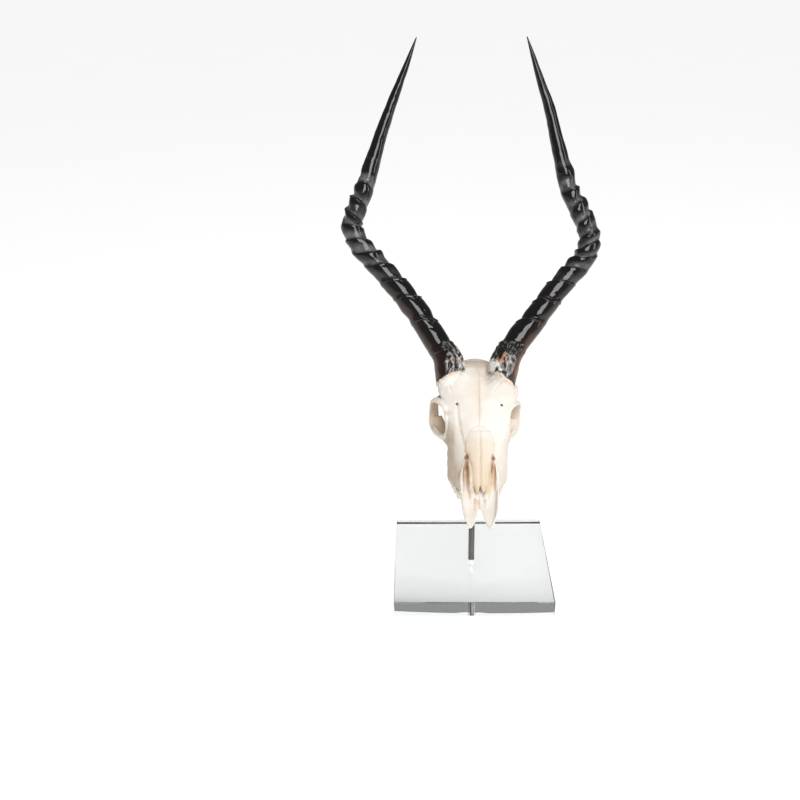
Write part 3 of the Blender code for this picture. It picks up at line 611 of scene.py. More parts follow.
def horn_surface(path, crests, fray, seed):
    """The outer skin of a horn: points in rings, and the values that its material reads."""
    share = np.linspace(0, 1, HORN_RINGS)[:, None] ** 0.96
    angle = (np.arange(HORN_SIDES) * 2 * pi / HORN_SIDES)[None, :]
    share = np.broadcast_to(share, (HORN_RINGS, HORN_SIDES))
    angle = np.broadcast_to(angle, share.shape)
    along_mm = share * path.length
    radius = read_table(HORN_DIAMETERS, share) / 2
    around = np.stack([np.cos(angle) * 10, np.sin(angle) * 10, along_mm], -1)

    wander = 0.009 * noise(around, 11, seed)
    ridge = ridge_field(crests, share + wander, angle, seed)
    highest = np.radians(read_table(RIDGE_FACING, share))
    strength = RIDGE_WEAK_SIDE + (1 - RIDGE_WEAK_SIDE) * (0.5 + 0.5 * np.cos(angle - highest))
    lift = ridge * read_table(RIDGE_HEIGHTS, share) * strength

    grain = np.stack([np.cos(angle) * 12, np.sin(angle) * 12, along_mm / 14], -1)
    slender = soft_step(share, 1.0, 0.8)
    dents = 0.55 * noise(around, 13, seed + 1) + 0.3 * noise(around, 6.5, seed + 8)
    lift = lift + slender * (dents + 0.05 * noise(grain, 1.4, seed + 2, 2))

    facing, begins, full, lobe_angle, lobe_height, lobe_pale, redness = fray
    front = soft_step(np.cos(angle - facing), 0.15, 0.75)
    torn = share + 0.02 * noise(around, 8, seed + 7)
    ragged = soft_step(torn, begins, full) * (0.1 + 0.9 * front)
    flow = np.stack([np.cos(angle) * 15, np.sin(angle) * 15, along_mm / 4.2], -1)
    flow = flow + 2.0 * noise(around, 9, seed + 6)[..., None]
    strips = 1 - 2 * np.abs(noise(flow, 4.0, seed + 3, 2))
    lift = lift + ragged * (2.1 * strips + 0.4 * noise(around, 2.4, seed + 4, 2) - 0.6)
    lobe = bump_shape(angle - lobe_angle, 0.6) * soft_step(share, 0.055, 0.0)
    lift = lift + lobe_height * lobe
    size = radius + lift
    size[-1] = 0.25

    edge = noise(np.stack([np.cos(angle) * 12, np.sin(angle) * 12, 0 * angle], -1), 5.0, seed + 5, 2)
    edge = ((4.2 * edge - 1.0) * (0.3 + 0.7 * front) - 7 * lobe) * soft_step(share, 0.035, 0.0)
    reached = path.slanted(share, angle, radius)
    points = path.place(reached, angle, size, edge)
    values = {
        "ragged": ragged,
        "strips": 0.5 + 0.5 * strips + lobe_pale * lobe - 0.5 * soft_step(torn, 0.045, 0.07),
        "brown": soft_step(share, 0.42, 0.05) * soft_step(-np.sin(angle), -0.1, 0.9),
        "copper": redness * soft_step(share, 0.13, 0.02) * soft_step(-np.sin(angle), 0.45, 0.9),
        # The valleys between the upper ridges, where the material paints a grey reflection
        "valley": soft_step(ridge, 0.6, 0.1) * window(share, 0.28, 0.38, 0.63, 0.68),
    }
    return points, values


def make_horn(name, path, crests, fray, seed):
    """A horn sheath, closed round the hollow that sits over the bony core."""
    outer, values = horn_surface(path, crests, fray, seed)
    angle = np.arange(HORN_SIDES) * 2 * pi / HORN_SIDES
    inner = []
    for depth, radius in HORN_HOLLOW:
        size = np.full(HORN_SIDES, radius)
        share = path.slanted(np.zeros(HORN_SIDES), angle, size)
        tilt = 1.0 if depth == 0.0 else 0.0
        inner.append(path.place(share * tilt, angle, size, np.full(HORN_SIDES, depth)))
    horn = ring_solid(name, np.concatenate([np.array(inner)[::-1], outer]) * MM)
    for key, value in values.items():
        hidden = np.ones((len(inner), HORN_SIDES)) * (key == "ragged")
        paint(horn.data, key, np.concatenate([hidden, value]).ravel())
    return horn


# Bone

def ring_at_horn(path, share, radius, lift, sides=ROUND_POINTS, slanted=True):
    """A ring of points near a horn's base, in the skull's own frame."""
    angle = np.arange(sides) * 2 * pi / sides
    size = np.full(sides, float(radius))
    reached = np.full(sides, float(share))
    if slanted:
        reached = path.slanted(reached, angle, size)
    back = np.array(POSE.inverted())
    points = path.place(reached, angle, size, np.full(sides, float(lift)))
    return points @ back[:3, :3].T + back[:3, 3]


def horn_seat_rings(path, lift, extra, shares):
    """Rings round a horn's base, a little wider than the horn."""
    return [ring_at_horn(path, s, read_table(HORN_DIAMETERS, s) / 2 + extra, lift) for s in shares]


def core_rings(path):
    """The bony core under a horn."""
    rows = ((-CORE_ROOT, CORE_RADIUS), (0, CORE_RADIUS), (CORE_DEPTH, CORE_TIP_RADIUS))
    return [ring_at_horn(path, 0, radius, depth, CORE_SIDES, False) for depth, radius in rows]


def pedicle_rings(path):
    """The stump of bone that carries a horn."""
    return [ring_at_horn(path, 0, radius, depth) for depth, radius in PEDICLE]


def cut_away(thing, cutter):
    cut = thing.modifiers.new("Cut", "BOOLEAN")
    cut.operation = "DIFFERENCE"
    cut.solver = "EXACT"
    cut.object = cutter
    bake_modifiers(thing)
    bpy.data.objects.remove(cutter, do_unlink=True)


def cut_shape(thing, make_cutter):
    bm = bmesh.new()
    make_cutter(bm)
    cut_away(thing, add_mesh_object("cutter", bm))


def tooth_line(side):
    row = np.array([(x * side, b) for x, b, _, _ in TOOTH_ROW], float)
    first = row[0] + (row[0] - row[1]) * GROOVE_OVERRUN
    last = row[-1] + (row[-1] - row[-2]) * GROOVE_OVERRUN
    return np.vstack([[first], row, [last]])


def add_tooth_groove(bm, side):
    line = tooth_line(side)
    along = unit(np.gradient(line, axis=0))
    out = np.stack([along[:, 1], -along[:, 0]], 1) * GROOVE_HALF_WIDTH
    top = TOOTH_IN_BONE + TOOTH_GAP
    rings = []
    for p, o in zip(line, out):
        rings.append([(*(p + o), GROOVE_LOW), (*(p + o), top), (*(p - o), top), (*(p - o), GROOVE_LOW)])
    add_rings(bm, rings)


def add_rod_hole(bm):
    low, high = DRILLED_FROM, ROD_TOP + 2 * HOLE_ROOM
    radius = ROD_RADIUS + 2 * HOLE_ROOM
    made = bmesh.ops.create_cone(bm, cap_ends=True, segments=DRILLED_SIDES, radius1=radius, radius2=radius,
                                 depth=high - low)
    place = POSE.inverted() @ Matrix.Translation((0, 0, (low + high) / 2))
    bmesh.ops.transform(bm, matrix=place, verts=made["verts"])


def rough_bone(horns):
    """The fused bone before its surface is worked: lofts, bars and balls with the hollows cut."""
    bm = bmesh.new()
    add_cranium(bm)
    bone = add_mesh_object("skull_bone", bm)
    across = (1, 0, 0)
    for stations in (NASAL_TROUGH, NASAL_CAVITY, CHOANAE):
        cut_shape(bone, lambda bm: add_bar(bm, stations, across, sides=32))
    cut_shape(bone, lambda bm: add_ball(bm, *FORAMEN_MAGNUM))
    for side in (-1, 1):
        for stations, sides, count in ((NASAL_GAP, 16, 8), (SIDE_TROUGH, 24, 24), (BROW_FORAMEN, 16, 8)):
            cut_shape(bone, lambda bm: add_bar(bm, stations, across, side, 0.0, sides, count))
    for side in (-1, 1):
        cut_shape(bone, lambda bm: add_tooth_groove(bm, side))
    cut_shape(bone, add_rod_hole)
    for path in horns:
        seat = horn_seat_rings(path, SEAT_DROP, SEAT_ROOM, SEAT_SHARES)
        cut_shape(bone, lambda bm: add_rings(bm, seat))
    bm = bmesh.new()
    bm.from_mesh(bone.data)
    up = (0, 0, 1)
    for side in (-1, 1):
        add_bar(bm, NASAL_BONE, (1, 0, -0.28), side)
        for stations in (PALATINE_PROCESS, NASAL_LEDGE, NASAL_FLOOR, TURBINATE):
            add_bar(bm, stations, across, side)
        add_bar(bm, ORBIT_RIM, (0.8, -0.6, 0), side, ORBIT_SHIFT, count=90, closed_path=True)
        add_bar(bm, ORBIT_SHELF, (0.9, -0.3, -0.3), side, ORBIT_SHIFT)
        add_bar(bm, CHEEK_BAR, up, side, ORBIT_SHIFT, count=60)
        add_bar(bm, PTERYGOID_PLATE, up, side)
        add_bar(bm, PAROCCIPITAL, across, side)
        add_plate(bm, PREMAXILLA, PREMAXILLA_THICKNESS, side)
        for ball in (TOOTH_ROOT_BULGE, HEARING_BULLA, JAW_SOCKET, NECK_CONDYLE):
            add_ball(bm, *ball, side)
    add_bar(bm, VOMER, across)
    add_bar(bm, NUCHAL_CREST, (0, 1, 0), count=60)
    for path in horns:
        add_rings(bm, pedicle_rings(path))
        add_rings(bm, core_rings(path))
    bmesh.ops.recalc_face_normals(bm, faces=bm.faces[:])
    bm.to_mesh(bone.data)
    bm.free()
    return bone


def fuse(bone):
    remesh = bone.modifiers.new("Fuse", "REMESH")
    remesh.mode = "VOXEL"
    remesh.voxel_size = BONE_VOXEL
    smooth = bone.modifiers.new("Soften", "SMOOTH")
    smooth.factor = 0.5
    smooth.iterations = BONE_SMOOTHING
    bake_modifiers(bone)


def suture_lines(points, normals):
    """How close each point is to a suture, from 0 to 1."""
    wiggle = np.stack([noise(points, 3.2, seed, 2) for seed in (31, 32, 33)], -1)
    bent = points + 1.1 * wiggle
    x, b, d = bent.T
    above = soft_step(normals[:, 2], 0.15, 0.45)
    aside = soft_step(np.abs(normals[:, 0]), 0.3, 0.6)
    seam = 0.55 * bump_shape(x * 1.2, 0.55) * above * window(b, 40, 44, 112, 114)
    frontal = bump_shape(x * 1.2, 0.6) * above * window(b, 113, 117, 186, 190)
    seam = np.maximum(seam, frontal)
    mirrored = np.stack([np.abs(x), b], 1)
    for line, width, strength in ((NASAL_EDGE, 0.6, 0.6), (CORONAL, 0.55, 0.55), (LACRIMAL_EDGE, 0.55, 0.4)):
        away, _ = line_distance(mirrored, line)
        seam = np.maximum(seam, strength * bump_shape(away, width) * above * soft_step(d, 30, 34))
    for line, strength in ((CHEEK_EDGE, 0.4), (SNOUT_EDGE, 0.55)):
        away, _ = line_distance(np.stack([b, d], 1), line)
        seam = np.maximum(seam, strength * bump_shape(away, 0.55) * aside * soft_step(np.abs(x), 12, 16))
    return seam


def work_surface(points, normals, horns):
    """Move the bone's points: sutures, vessel grooves, pitted and striated places."""
    x, b, d = points.T
    width = np.abs(x)
    above = soft_step(normals[:, 2], 0.15, 0.5)
    move = 0.22 * noise(points, 11, 41, 2) + 0.07 * noise(points, 2.4, 42, 2)
    move -= 0.5 * suture_lines(points, normals)

    away, share = line_distance(np.stack([width, b], 1), BROW_GROOVE)
    deep = 1.9 * (1 - 0.5 * share) * np.where(x < 0, 1.0, 0.35)
    patchy = 0.75 + 0.25 * noise(points, 9, 48)
    move -= deep * patchy * bump_shape(away, 1.8) * above * soft_step(b, 90, 96)
    move += 0.7 * bump_shape(width - 28.5, 3.5) * bump_shape(b - 118, 20) * above * (x < 0)
    move -= np.where(x > 0, 3.0, 1.6) * bump_shape(width - 10, 6) * bump_shape(b - 176, 14) * above
    move += 0.8 * bump_shape(x, 3.6) * above * window(b, 128, 150, 180, 196)
    nasal = above * window(b, 38, 46, 106, 116) * soft_step(d, 14, 18)
    move -= 0.8 * bump_shape(x, 1.6) * nasal

    edge = soft_step(d, 10, 1) * window(b, 52, 60, 122, 132) * soft_step(width, 14, 18)
    comb = noise(np.stack([b, d / 7, x / 7], -1), 1.5, 43, 2)
    move += edge * (0.85 * comb - 0.1)
    rough = bump_shape(b - 108, 11) * bump_shape(d - 38, 9) * soft_step(width, 24, 30)
    move += rough * 0.55 * noise(points, 1.9, 44, 2)

    near = np.full(len(points), 1e3)
    around = np.zeros(len(points))
    for path in horns:
        ring = horn_seat_rings(path, -1.0, 0.0, (0.0,))[0]
        for number, point in enumerate(ring):
            away = np.linalg.norm(points - point, axis=1)
            closer = away < near
            near[closer] = away[closer]
            around[closer] = number * 2.2 + path.side * 40
    flute = noise(np.stack([around, near / 9, 0 * near], -1), 3.0, 47, 2)
    move += 1.4 * soft_step(near, 30, 8) * flute * soft_step(b, 150, 160)
    crumb = noise(points * (1, 1, 0.5), 2.0, 45, 2)
    move += soft_step(near, 6, 1.5) * (1.0 * crumb + 0.5)

    leaf = soft_step(b, 62, 50) * soft_step(np.abs(normals[:, 0]), 0.2, 0.7) * soft_step(width, 9, 12)
    rim = np.interp(b, [row[0] for row in PREMAXILLA], [row[1][0][1] for row in PREMAXILLA])
    leaf = leaf * soft_step(b, 0, 6) * soft_step(d - rim, -4.5, -1.5)
    move += leaf * np.where(x < 0, 1.6, 0.9) * noise(points, 2.4, 46, 2)
    return points + normals * move[:, None], soft_step(near, 12, 0)


def open_share(mesh, points, normals):
    """The share of short rays from each point that meet no bone."""
    tree = BVHTree.FromPolygons([Vector(p) for p in points], [tuple(f.vertices) for f in mesh.polygons])
    chance = np.random.default_rng(SEED)
    spread = unit(chance.normal(size=(OPEN_RAYS, 3)))
    free = np.zeros(len(points))
    starts = points + normals * OPEN_START
    cast = tree.ray_cast
    for way in spread:
        aims = normals + way * OPEN_SPREAD
        for index, (start, aim) in enumerate(zip(starts, aims)):
            if cast(start, aim, OPEN_REACH)[0] is None:
                free[index] += 1
    return free / OPEN_RAYS


def strongest(*layers):
    return np.max(layers, axis=0)


def paint_bone(bone, rim):
    """Values for the bone's material: stains, ivory and orange-brown tones and rust, with painted shade in
    holes and hollows and painted tan shade, partly dirt.
    """
    mesh = bone.data
    points = read_points(mesh)
    normals = read_normals(mesh)
    x, b, d = points.T
    width = np.abs(x)
    above = soft_step(normals[:, 2], 0.15, 0.5)
    # How closed in by bone each point is; it sets the painted shade in the hollows below
    closed = 1 - open_share(mesh, points, normals)
    blot = 0.5 + 0.5 * noise(points, 6, 51, 3)
    left = x < 0

    hole = bump_shape(width - 16, 3.4) * window(b, 74, 78, 84, 90)
    broad = np.where(left, 2.9, 1.7)
    channel = bump_shape((width - 15.2 + 0.115 * (80 - b)) / broad, 1.0) * soft_step(d, 21, 25)
    foramen = bump_shape(width - 26.8, 3) * bump_shape(b - 142, 4)
    away, _ = line_distance(np.stack([width, b], 1), BROW_GROOVE)
    groove = bump_shape(away, 1.3) * above * np.where(left, 1.0, 0.3) * soft_step(b, 92, 98)
    socket = soft_step(d, 6, 0) * window(b, 54, 60, 122, 132)
    # Painted shade: brown darkening where most short rays meet bone, in the hollows from the snout back
    cavity_shade = 0.3 * soft_step(closed, 0.7, 1.0) * soft_step(b, 60, 80)
    # Real stains of the sutures and channels, with painted shade in the nasal holes, foramina, brow grooves,
    # tooth sockets and hollows
    stain_and_shade = strongest(
        0.5 * suture_lines(points, normals) * (0.35 + 0.65 * blot),
        0.75 * hole * soft_step(closed, 0.3, 0.7),
        0.8 * channel * soft_step(b - np.where(left, 72, 70), -1, 2) * soft_step(b, 85, 82),
        0.75 * foramen * soft_step(closed, 0.15, 0.5),
        0.28 * groove * blot,
        0.5 * socket * blot * soft_step(closed, 0.2, 0.6),
        cavity_shade,
    )

    tip = above * soft_step(b, 56, 40) * soft_step(d, 12, 17) * soft_step(width, 13, 11)
    nose = window(b, 46, 66, 100, 122) * soft_step(width, 25, 20) * soft_step(d, 2, 5)
    process = np.maximum(bump_shape(x + 5.8, 1.1), bump_shape(x + 0.3, 1.0))
    process = process * window(b, 20, 28, 46, 54) * soft_step(d, 13, 9)
    # Orange-brown tones on the nasal tips, channels and palatine processes, with painted shade inside the
    # nasal cavity
    honey_and_shade = strongest(
        tip * (0.35 + 0.65 * soft_step(noise(points * (1, 0.4, 0.4), 2.2, 53, 2), -0.2, 0.5)),
        0.85 * nose * soft_step(closed, 0.35, 0.9),
        0.8 * channel * window(b, 56, 60, 70, 74),
        process * soft_step(noise(points, 1.6, 54), -0.8, 0.0),
    )

    nasal = above * soft_step(b, 120, 70) * soft_step(width, 20, 14) * soft_step(d, 14, 18)
    crown = bump_shape(x, 2.2) * above * window(b, 118, 126, 182, 192)
    ivory = strongest(nasal * (0.55 + 0.45 * blot), 0.55 * crown)

    inner = soft_step(normals[:, 0] * np.sign(x), 0.6, 0.15)
    orbit = window(b, 129, 134, 172, 182) * soft_step(width, 22, 27) * soft_step(d, 67, 62)
    temple = window(b, 168, 178, 212, 226) * soft_step(width, 28, 33) * soft_step(d, 84, 76)
    flank = soft_step(np.abs(normals[:, 0]), 0.45, 0.95) * window(b, 56, 70, 122, 130)
    low = soft_step(d, 16, 2) * window(b, 56, 62, 124, 134) * soft_step(width, 18, 24)
    hollow = bump_shape(width - 9, 6) * bump_shape(b - 178, 14) * above
    near = soft_step(rim, 0.3, 0.9)
    # Painted shade, partly tan dirt: orbits' inner walls, braincase roof, temples, side faces and tooth row
    # darker on the left, frontal hollows, horn bases
    shade = strongest(
        0.85 * orbit * inner * np.where(left, 1.0, 0.45),
        0.55 * soft_step(b, 186, 196) * above,
        0.7 * temple,
        flank * (0.28 + 0.2 * blot) * np.where(left, 2.0, 0.5),
        low * blot * np.where(left, 1.1, 0.5),
        hollow * np.where(left, 0.16, 0.3),
        0.25 * near * blot,
    )
    rust = 0.6 * near * soft_step(noise(points * (1, 1, 0.45), 1.8, 52, 2), 0.0, 0.5)
    painted = {"stain_and_shade": stain_and_shade, "ivory": ivory, "honey_and_shade": honey_and_shade, "tan": shade, "rust": rust, "cavity_shade": cavity_shade}
    for name, values in painted.items():
        paint(mesh, name, values)


def make_skull(horns):
    bone = rough_bone(horns)
    fuse(bone)
    points = read_points(bone.data)
    normals = read_normals(bone.data)
    points, rim = work_surface(points, normals, horns)
    write_points(bone.data, points)
    paint(bone.data, "rim", rim)
    triangles = 2 * len(bone.data.polygons)
    if triangles > BONE_TRIANGLES:
        thin = bone.modifiers.new("Thin", "DECIMATE")
        thin.ratio = BONE_TRIANGLES / triangles
        thin.use_collapse_triangulate = True
        bake_modifiers(bone)
    rim = np.zeros(len(bone.data.vertices), np.float32)
    bone.data.attributes["rim"].data.foreach_get("value", rim)
    paint_bone(bone, rim)
    bone.data.transform(Matrix.Scale(MM, 4) @ POSE)
    bone.data.shade_smooth()
    return bone


# Teeth

def make_tooth(name, number, side, place):
    """A crown of two crescents with folds down its cheek side and hollows where it bites."""
    _, _, half_length, half_width = TOOTH_ROW[number]
    half_length = half_length - TOOTH_GAP
    lobes = 2 if number > 2 else 1
    angle = np.arange(TOOTH_SIDES) * 2 * pi / TOOTH_SIDES
    f, w = np.cos(angle), np.sin(angle)
    waist = 0.2 * np.exp(-((f / 0.22) ** 2)) if lobes == 2 else 0.06 * np.exp(-((f / 0.3) ** 2))
    folds = 0.05 * np.cos(f * (9.4 if lobes == 2 else 6.2)) * (w > 0)
    outline = np.sign(w) * np.abs(w) ** 0.75 * (1 - waist + folds)
    long_way = np.sign(f) * np.abs(f) ** 0.82
    rings = []
    chance = np.random.default_rng(100 + number * 2 + side)
    turn = chance.uniform(0, 6)
    for depth in np.linspace(0, 1, TOOTH_LEVELS):
        narrow = 1 - 0.28 * soft_step(depth, 0.45, 1.0)
        short = 1 - 0.08 * soft_step(depth, 0.6, 1.0)
        swell = 1 + 0.012 * np.sin(depth * 19 + turn)
        rings.append(np.stack([side * outline * half_width * narrow * swell,
                               long_way * half_length * short,
                               np.full(TOOTH_SIDES, -depth * TOOTH_HEIGHT)], -1))
    for inset in (0.8, 0.62, 0.42, 0.2, 0.03):
        ring = rings[TOOTH_LEVELS - 1].copy()
        ring[:, :2] *= inset
        crescent = np.cos(ring[:, 1] / half_length * pi * lobes) * 0.7 * (1 - inset)
        ring[:, 2] += 1.5 * soft_step(1 - inset, 0.15, 0.75) - crescent
        rings.append(ring)
    points = np.concatenate(rings)
    points += 0.06 * noise(points, 1.6, 60 + number, 2)[:, None]
    tooth = ring_solid(name, points.reshape(len(rings), TOOTH_SIDES, 3))
    tooth.data.transform(Matrix.Scale(MM, 4) @ POSE @ place)
    root = np.clip(1 + points[:, 2] / (TOOTH_HEIGHT * 0.5), 0, 1)
    inner = np.zeros(len(points))
    inner[TOOTH_LEVELS * TOOTH_SIDES:] = 1.0
    middle = (waist.max() > 0.1) * np.tile(np.exp(-((f / 0.16) ** 2)), len(rings))
    # Darker at the root, in the hollows where it bites and in the fold between the crescents: stains with
    # painted shade
    paint(tooth.data, "stain_and_shade", 0.5 * root + 0.85 * inner + 0.35 * middle)
    return tooth


def make_teeth(material):
    for side, word in ((-1, "left"), (1, "right")):
        line = tooth_line(side)
        for number, (x, b, _, _) in enumerate(TOOTH_ROW):
            step = line[number + 2] - line[number]
            turn = np.arctan2(-step[0], step[1])
            place = Matrix.Translation((x * side, b, TOOTH_IN_BONE)) @ Matrix.Rotation(turn, 4, "Z")
            node = "cheek_tooth_%s_%d" % (word, number + 1)
            tooth = make_tooth("tooth_%s_%d" % (word, number + 1), number, side, place)
            finish_piece(tooth, material, "enamel", node)


# Stand

def turned(name, profile, sharp, sides=96):
    """A solid of revolution round the world's Z axis, from (radius, z) points."""
    angle = np.arange(sides) * 2 * pi / sides
    rings = [np.stack([r * np.cos(angle), r * np.sin(angle), np.full(sides, z)], -1) for r, z in profile]
    bm = bmesh.new()
    add_rings(bm, rings)
    bmesh.ops.scale(bm, vec=(MM, MM, MM), verts=bm.verts[:])
    thing = add_mesh_object(name, bm)
    thing.data.shade_smooth()
    thing.data.set_sharp_from_angle(angle=radians(sharp))
    return thing


def make_rod():
    profile = [(ROD_RADIUS - ROD_EDGE, ROD_FOOT), (ROD_RADIUS, ROD_FOOT + ROD_EDGE)]
    heights = np.linspace(ROD_FOOT + ROD_PLAIN_END, ROD_TOP - ROD_PLAIN_END, ROD_RINGS)
    profile += [(ROD_RADIUS - ROD_RING_DEPTH * (k % 2), z) for k, z in enumerate(heights)]
    profile += [(ROD_RADIUS, ROD_TOP - ROD_EDGE), (ROD_RADIUS - ROD_EDGE, ROD_TOP)]
    return turned("steel_rod", profile, ROD_SHARP)


def make_block():
    bm = bmesh.new()
    bmesh.ops.create_cube(bm, size=1.0)
    bmesh.ops.scale(bm, vec=(BLOCK_SIDE * MM, BLOCK_SIDE * MM, BLOCK_HEIGHT * MM), verts=bm.verts[:])
    bmesh.ops.translate(bm, vec=(0, 0, BLOCK_HEIGHT * MM / 2), verts=bm.verts[:])
    bmesh.ops.bevel(bm, geom=bm.edges[:], offset=BLOCK_EDGE * MM, segments=4, profile=0.5, affect="EDGES")
    block = add_mesh_object("clear_block", bm)
    radius = ROD_RADIUS + HOLE_ROOM
    mouth = radius + MOUTH_ROOM
    hole = turned("block_hole", [
        (DRILL_POINT_RADIUS, ROD_FOOT - DRILL_POINT_DEPTH),
        (radius, ROD_FOOT - HOLE_ROOM),
        (radius, BLOCK_HEIGHT - MOUTH_EDGE),
        (mouth, BLOCK_HEIGHT + MOUTH_EDGE),
        (mouth, BLOCK_HEIGHT + DRILL_OVERRUN),
    ], ROD_SHARP)
    cut_away(block, hole)
    block.data.shade_smooth()
    block.data.set_sharp_from_angle(angle=radians(BLOCK_SHARP))
    return block


# Materials

class Nodes:
    """Short calls that add shader nodes to one material."""

    def __init__(self, name):
        self.material = bpy.data.materials.new(name)
        self.material.use_nodes = True
        self.tree = self.material.node_tree
        self.shader = self.tree.nodes["Principled BSDF"]
        self.where = self.add("ShaderNodeTexCoord").outputs["Object"]

    def add(self, kind):
        return self.tree.nodes.new(kind)

    def join(self, source, target):
        self.tree.links.new(source, target)

    def painted(self, name):
        node = self.add("ShaderNodeAttribute")
        node.attribute_name = name
        return node.outputs["Fac"]

    def grain(self, scale, detail=4.0, rough=0.55, squash=None, distortion=0.0):
        node = self.add("ShaderNodeTexNoise")
        node.inputs["Scale"].default_value = scale
        node.inputs["Detail"].default_value = detail
        node.inputs["Roughness"].default_value = rough
        node.inputs["Distortion"].default_value = distortion
        source = self.where
        if squash:
            stretch = self.add("ShaderNodeMapping")
            stretch.inputs["Scale"].default_value = squash
            self.join(self.where, stretch.inputs["Vector"])
            source = stretch.outputs["Vector"]
        self.join(source, node.inputs["Vector"])
        return node.outputs["Fac"]

    def fit(self, value, low, high, to_low=0.0, to_high=1.0):
        node = self.add("ShaderNodeMapRange")
        node.interpolation_type = "SMOOTHSTEP"
        for key, number in (("From Min", low), ("From Max", high), ("To Min", to_low), ("To Max", to_high)):
            node.inputs[key].default_value = number
        self.join(value, node.inputs["Value"])
        return node.outputs["Result"]

    def maths(self, operation, first, second):
        node = self.add("ShaderNodeMath")
        node.operation = operation
        for number, value in enumerate((first, second)):
            if isinstance(value, (int, float)):
                node.inputs[number].default_value = value
            else:
                self.join(value, node.inputs[number])
        return node.outputs["Value"]

    def times(self, first, second):
        return self.maths("MULTIPLY", first, second)

    def drive(self, key, source):
        """Let nodes set one of the shader's values."""
        self.join(source, self.shader.inputs[key])

    def mix(self, share, first, second):
        node = self.add("ShaderNodeMix")
        node.data_type = "RGBA"
        for key, value in (("Factor", share), ("A", first), ("B", second)):
            socket = [s for s in node.inputs if s.name == key and s.enabled][0]
            if isinstance(value, tuple):
                socket.default_value = (*value, 1.0)
            elif isinstance(value, (int, float)):
                socket.default_value = value
            else:
                self.join(value, socket)
        return [s for s in node.outputs if s.enabled][0]

    def coats(self, colour, *layers):
        """Lay tints over a colour, each with the share that it covers."""
        for share, tint in layers:
            colour = self.mix(share, colour, tint)
        return colour

    def relief(self, height, strength, distance, under=None):
        node = self.add("ShaderNodeBump")
        node.inputs["Strength"].default_value = strength
        node.inputs["Distance"].default_value = distance
        self.join(height, node.inputs["Height"])
        if under is not None:
            self.join(under, node.inputs["Normal"])
        return node.outputs["Normal"]


def bone_material():
    n = Nodes("bleached_bone")
    spots = n.fit(n.grain(70, 6, distortion=0.6), 0.5, 0.75)
    pores = n.fit(n.grain(900, 3, 0.6), 0.62, 0.75)
    blot = n.fit(n.grain(240, 4), 0.2, 0.6, 0.6, 1.0)
    colour = n.coats(
        n.mix(n.fit(n.grain(28, 5), 0.35, 0.68), (0.72, 0.66, 0.585), (0.785, 0.745, 0.70)),
        (n.times(spots, 0.35), (0.74, 0.63, 0.47)),
        (n.times(n.painted("ivory"), 0.85), (0.66, 0.52, 0.35)),
        # Orange-brown tones, with painted shade in the nasal cavity
        (n.times(n.painted("honey_and_shade"), 0.75), (0.56, 0.32, 0.13)),
        # Painted shade, partly tan dirt
        (n.painted("tan"), (0.47, 0.35, 0.23)),
        (n.times(pores, 0.35), (0.55, 0.43, 0.30)),
        (n.painted("rust"), (0.55, 0.27, 0.11)),
        # Stains, with painted shade in holes, sockets and hollows
        (n.times(n.painted("stain_and_shade"), blot), (0.26, 0.12, 0.04)),
        # Painted shade in the hollows
        (n.painted("cavity_shade"), (0.33, 0.20, 0.10)),
    )
    n.drive("Base Color", colour)
    n.drive("Roughness", n.fit(n.grain(60, 4), 0.3, 0.7, 0.42, 0.62))
    n.shader.inputs["Specular IOR Level"].default_value = 0.45
    n.shader.inputs["Subsurface Weight"].default_value = 0.06
    n.shader.inputs["Subsurface Radius"].default_value = (0.006, 0.004, 0.0025)
    n.shader.inputs["Subsurface Scale"].default_value = 0.5
    low = n.relief(n.grain(420, 5, 0.6), 0.25, 0.0006)
    n.drive("Normal", n.relief(n.grain(1500, 3), 0.2, 0.0003, low))
    return n.material


def horn_material():
    n = Nodes("polished_horn")
    patch = n.fit(n.grain(34, 4, distortion=0.8), 0.42, 0.7)
    browned = n.times(n.painted("brown"), n.fit(patch, 0, 1, 0.35, 1.0))
    streak = n.fit(n.grain(700, 4, squash=(1, 1, 0.12)), 0.5, 0.8)
    flaky = n.fit(n.painted("ragged"), 0.12, 0.6)
    strip = n.maths("ADD", n.painted("strips"), n.times(n.grain(380, 4, 0.6), 0.22))
    rusty = n.fit(n.grain(60, 4, distortion=0.4), 0.58, 0.68)
    rusty = n.times(rusty, n.fit(strip, 0.8, 0.95, 0.0, 0.85))
    flake = n.coats(
        n.mix(n.fit(strip, 0.88, 1.02), (0.010, 0.008, 0.007), (0.21, 0.20, 0.19)),
        (n.fit(strip, 1.04, 1.12), (0.66, 0.63, 0.58)),
        (rusty, (0.30, 0.12, 0.045)),
    )
    # Painted reflection: a grey sheen in the valleys between the upper ridges, which are also made rougher
    grey_valley_sheen = n.times(n.painted("valley"), n.fit(n.grain(80, 4, 0.6), 0.35, 0.65, 0.25, 1.0))
    copper = n.times(n.painted("copper"), n.fit(n.grain(90, 4), 0.35, 0.6))
    colour = n.coats(
        n.mix(browned, (0.003, 0.0028, 0.003), (0.060, 0.024, 0.012)),
        (n.times(streak, 0.25), (0.03, 0.018, 0.012)),
        (flaky, flake),
        (grey_valley_sheen, (0.12, 0.115, 0.125)),
        (copper, (0.20, 0.075, 0.03)),
    )
    n.drive("Base Color", colour)
    smear = n.fit(n.grain(60, 3), 0.35, 0.75, 0.04, 0.1)
    rough = n.maths("ADD", smear, n.times(flaky, 0.16))
    n.drive("Roughness", n.maths("ADD", rough, n.times(grey_valley_sheen, 0.25)))
    n.shader.inputs["Specular IOR Level"].default_value = 0.44
    low = n.relief(n.grain(700, 3, squash=(1, 1, 0.1)), 0.05, 0.0003)
    n.drive("Normal", n.relief(n.grain(70, 3, 0.4), 0.10, 0.001, low))
    return n.material


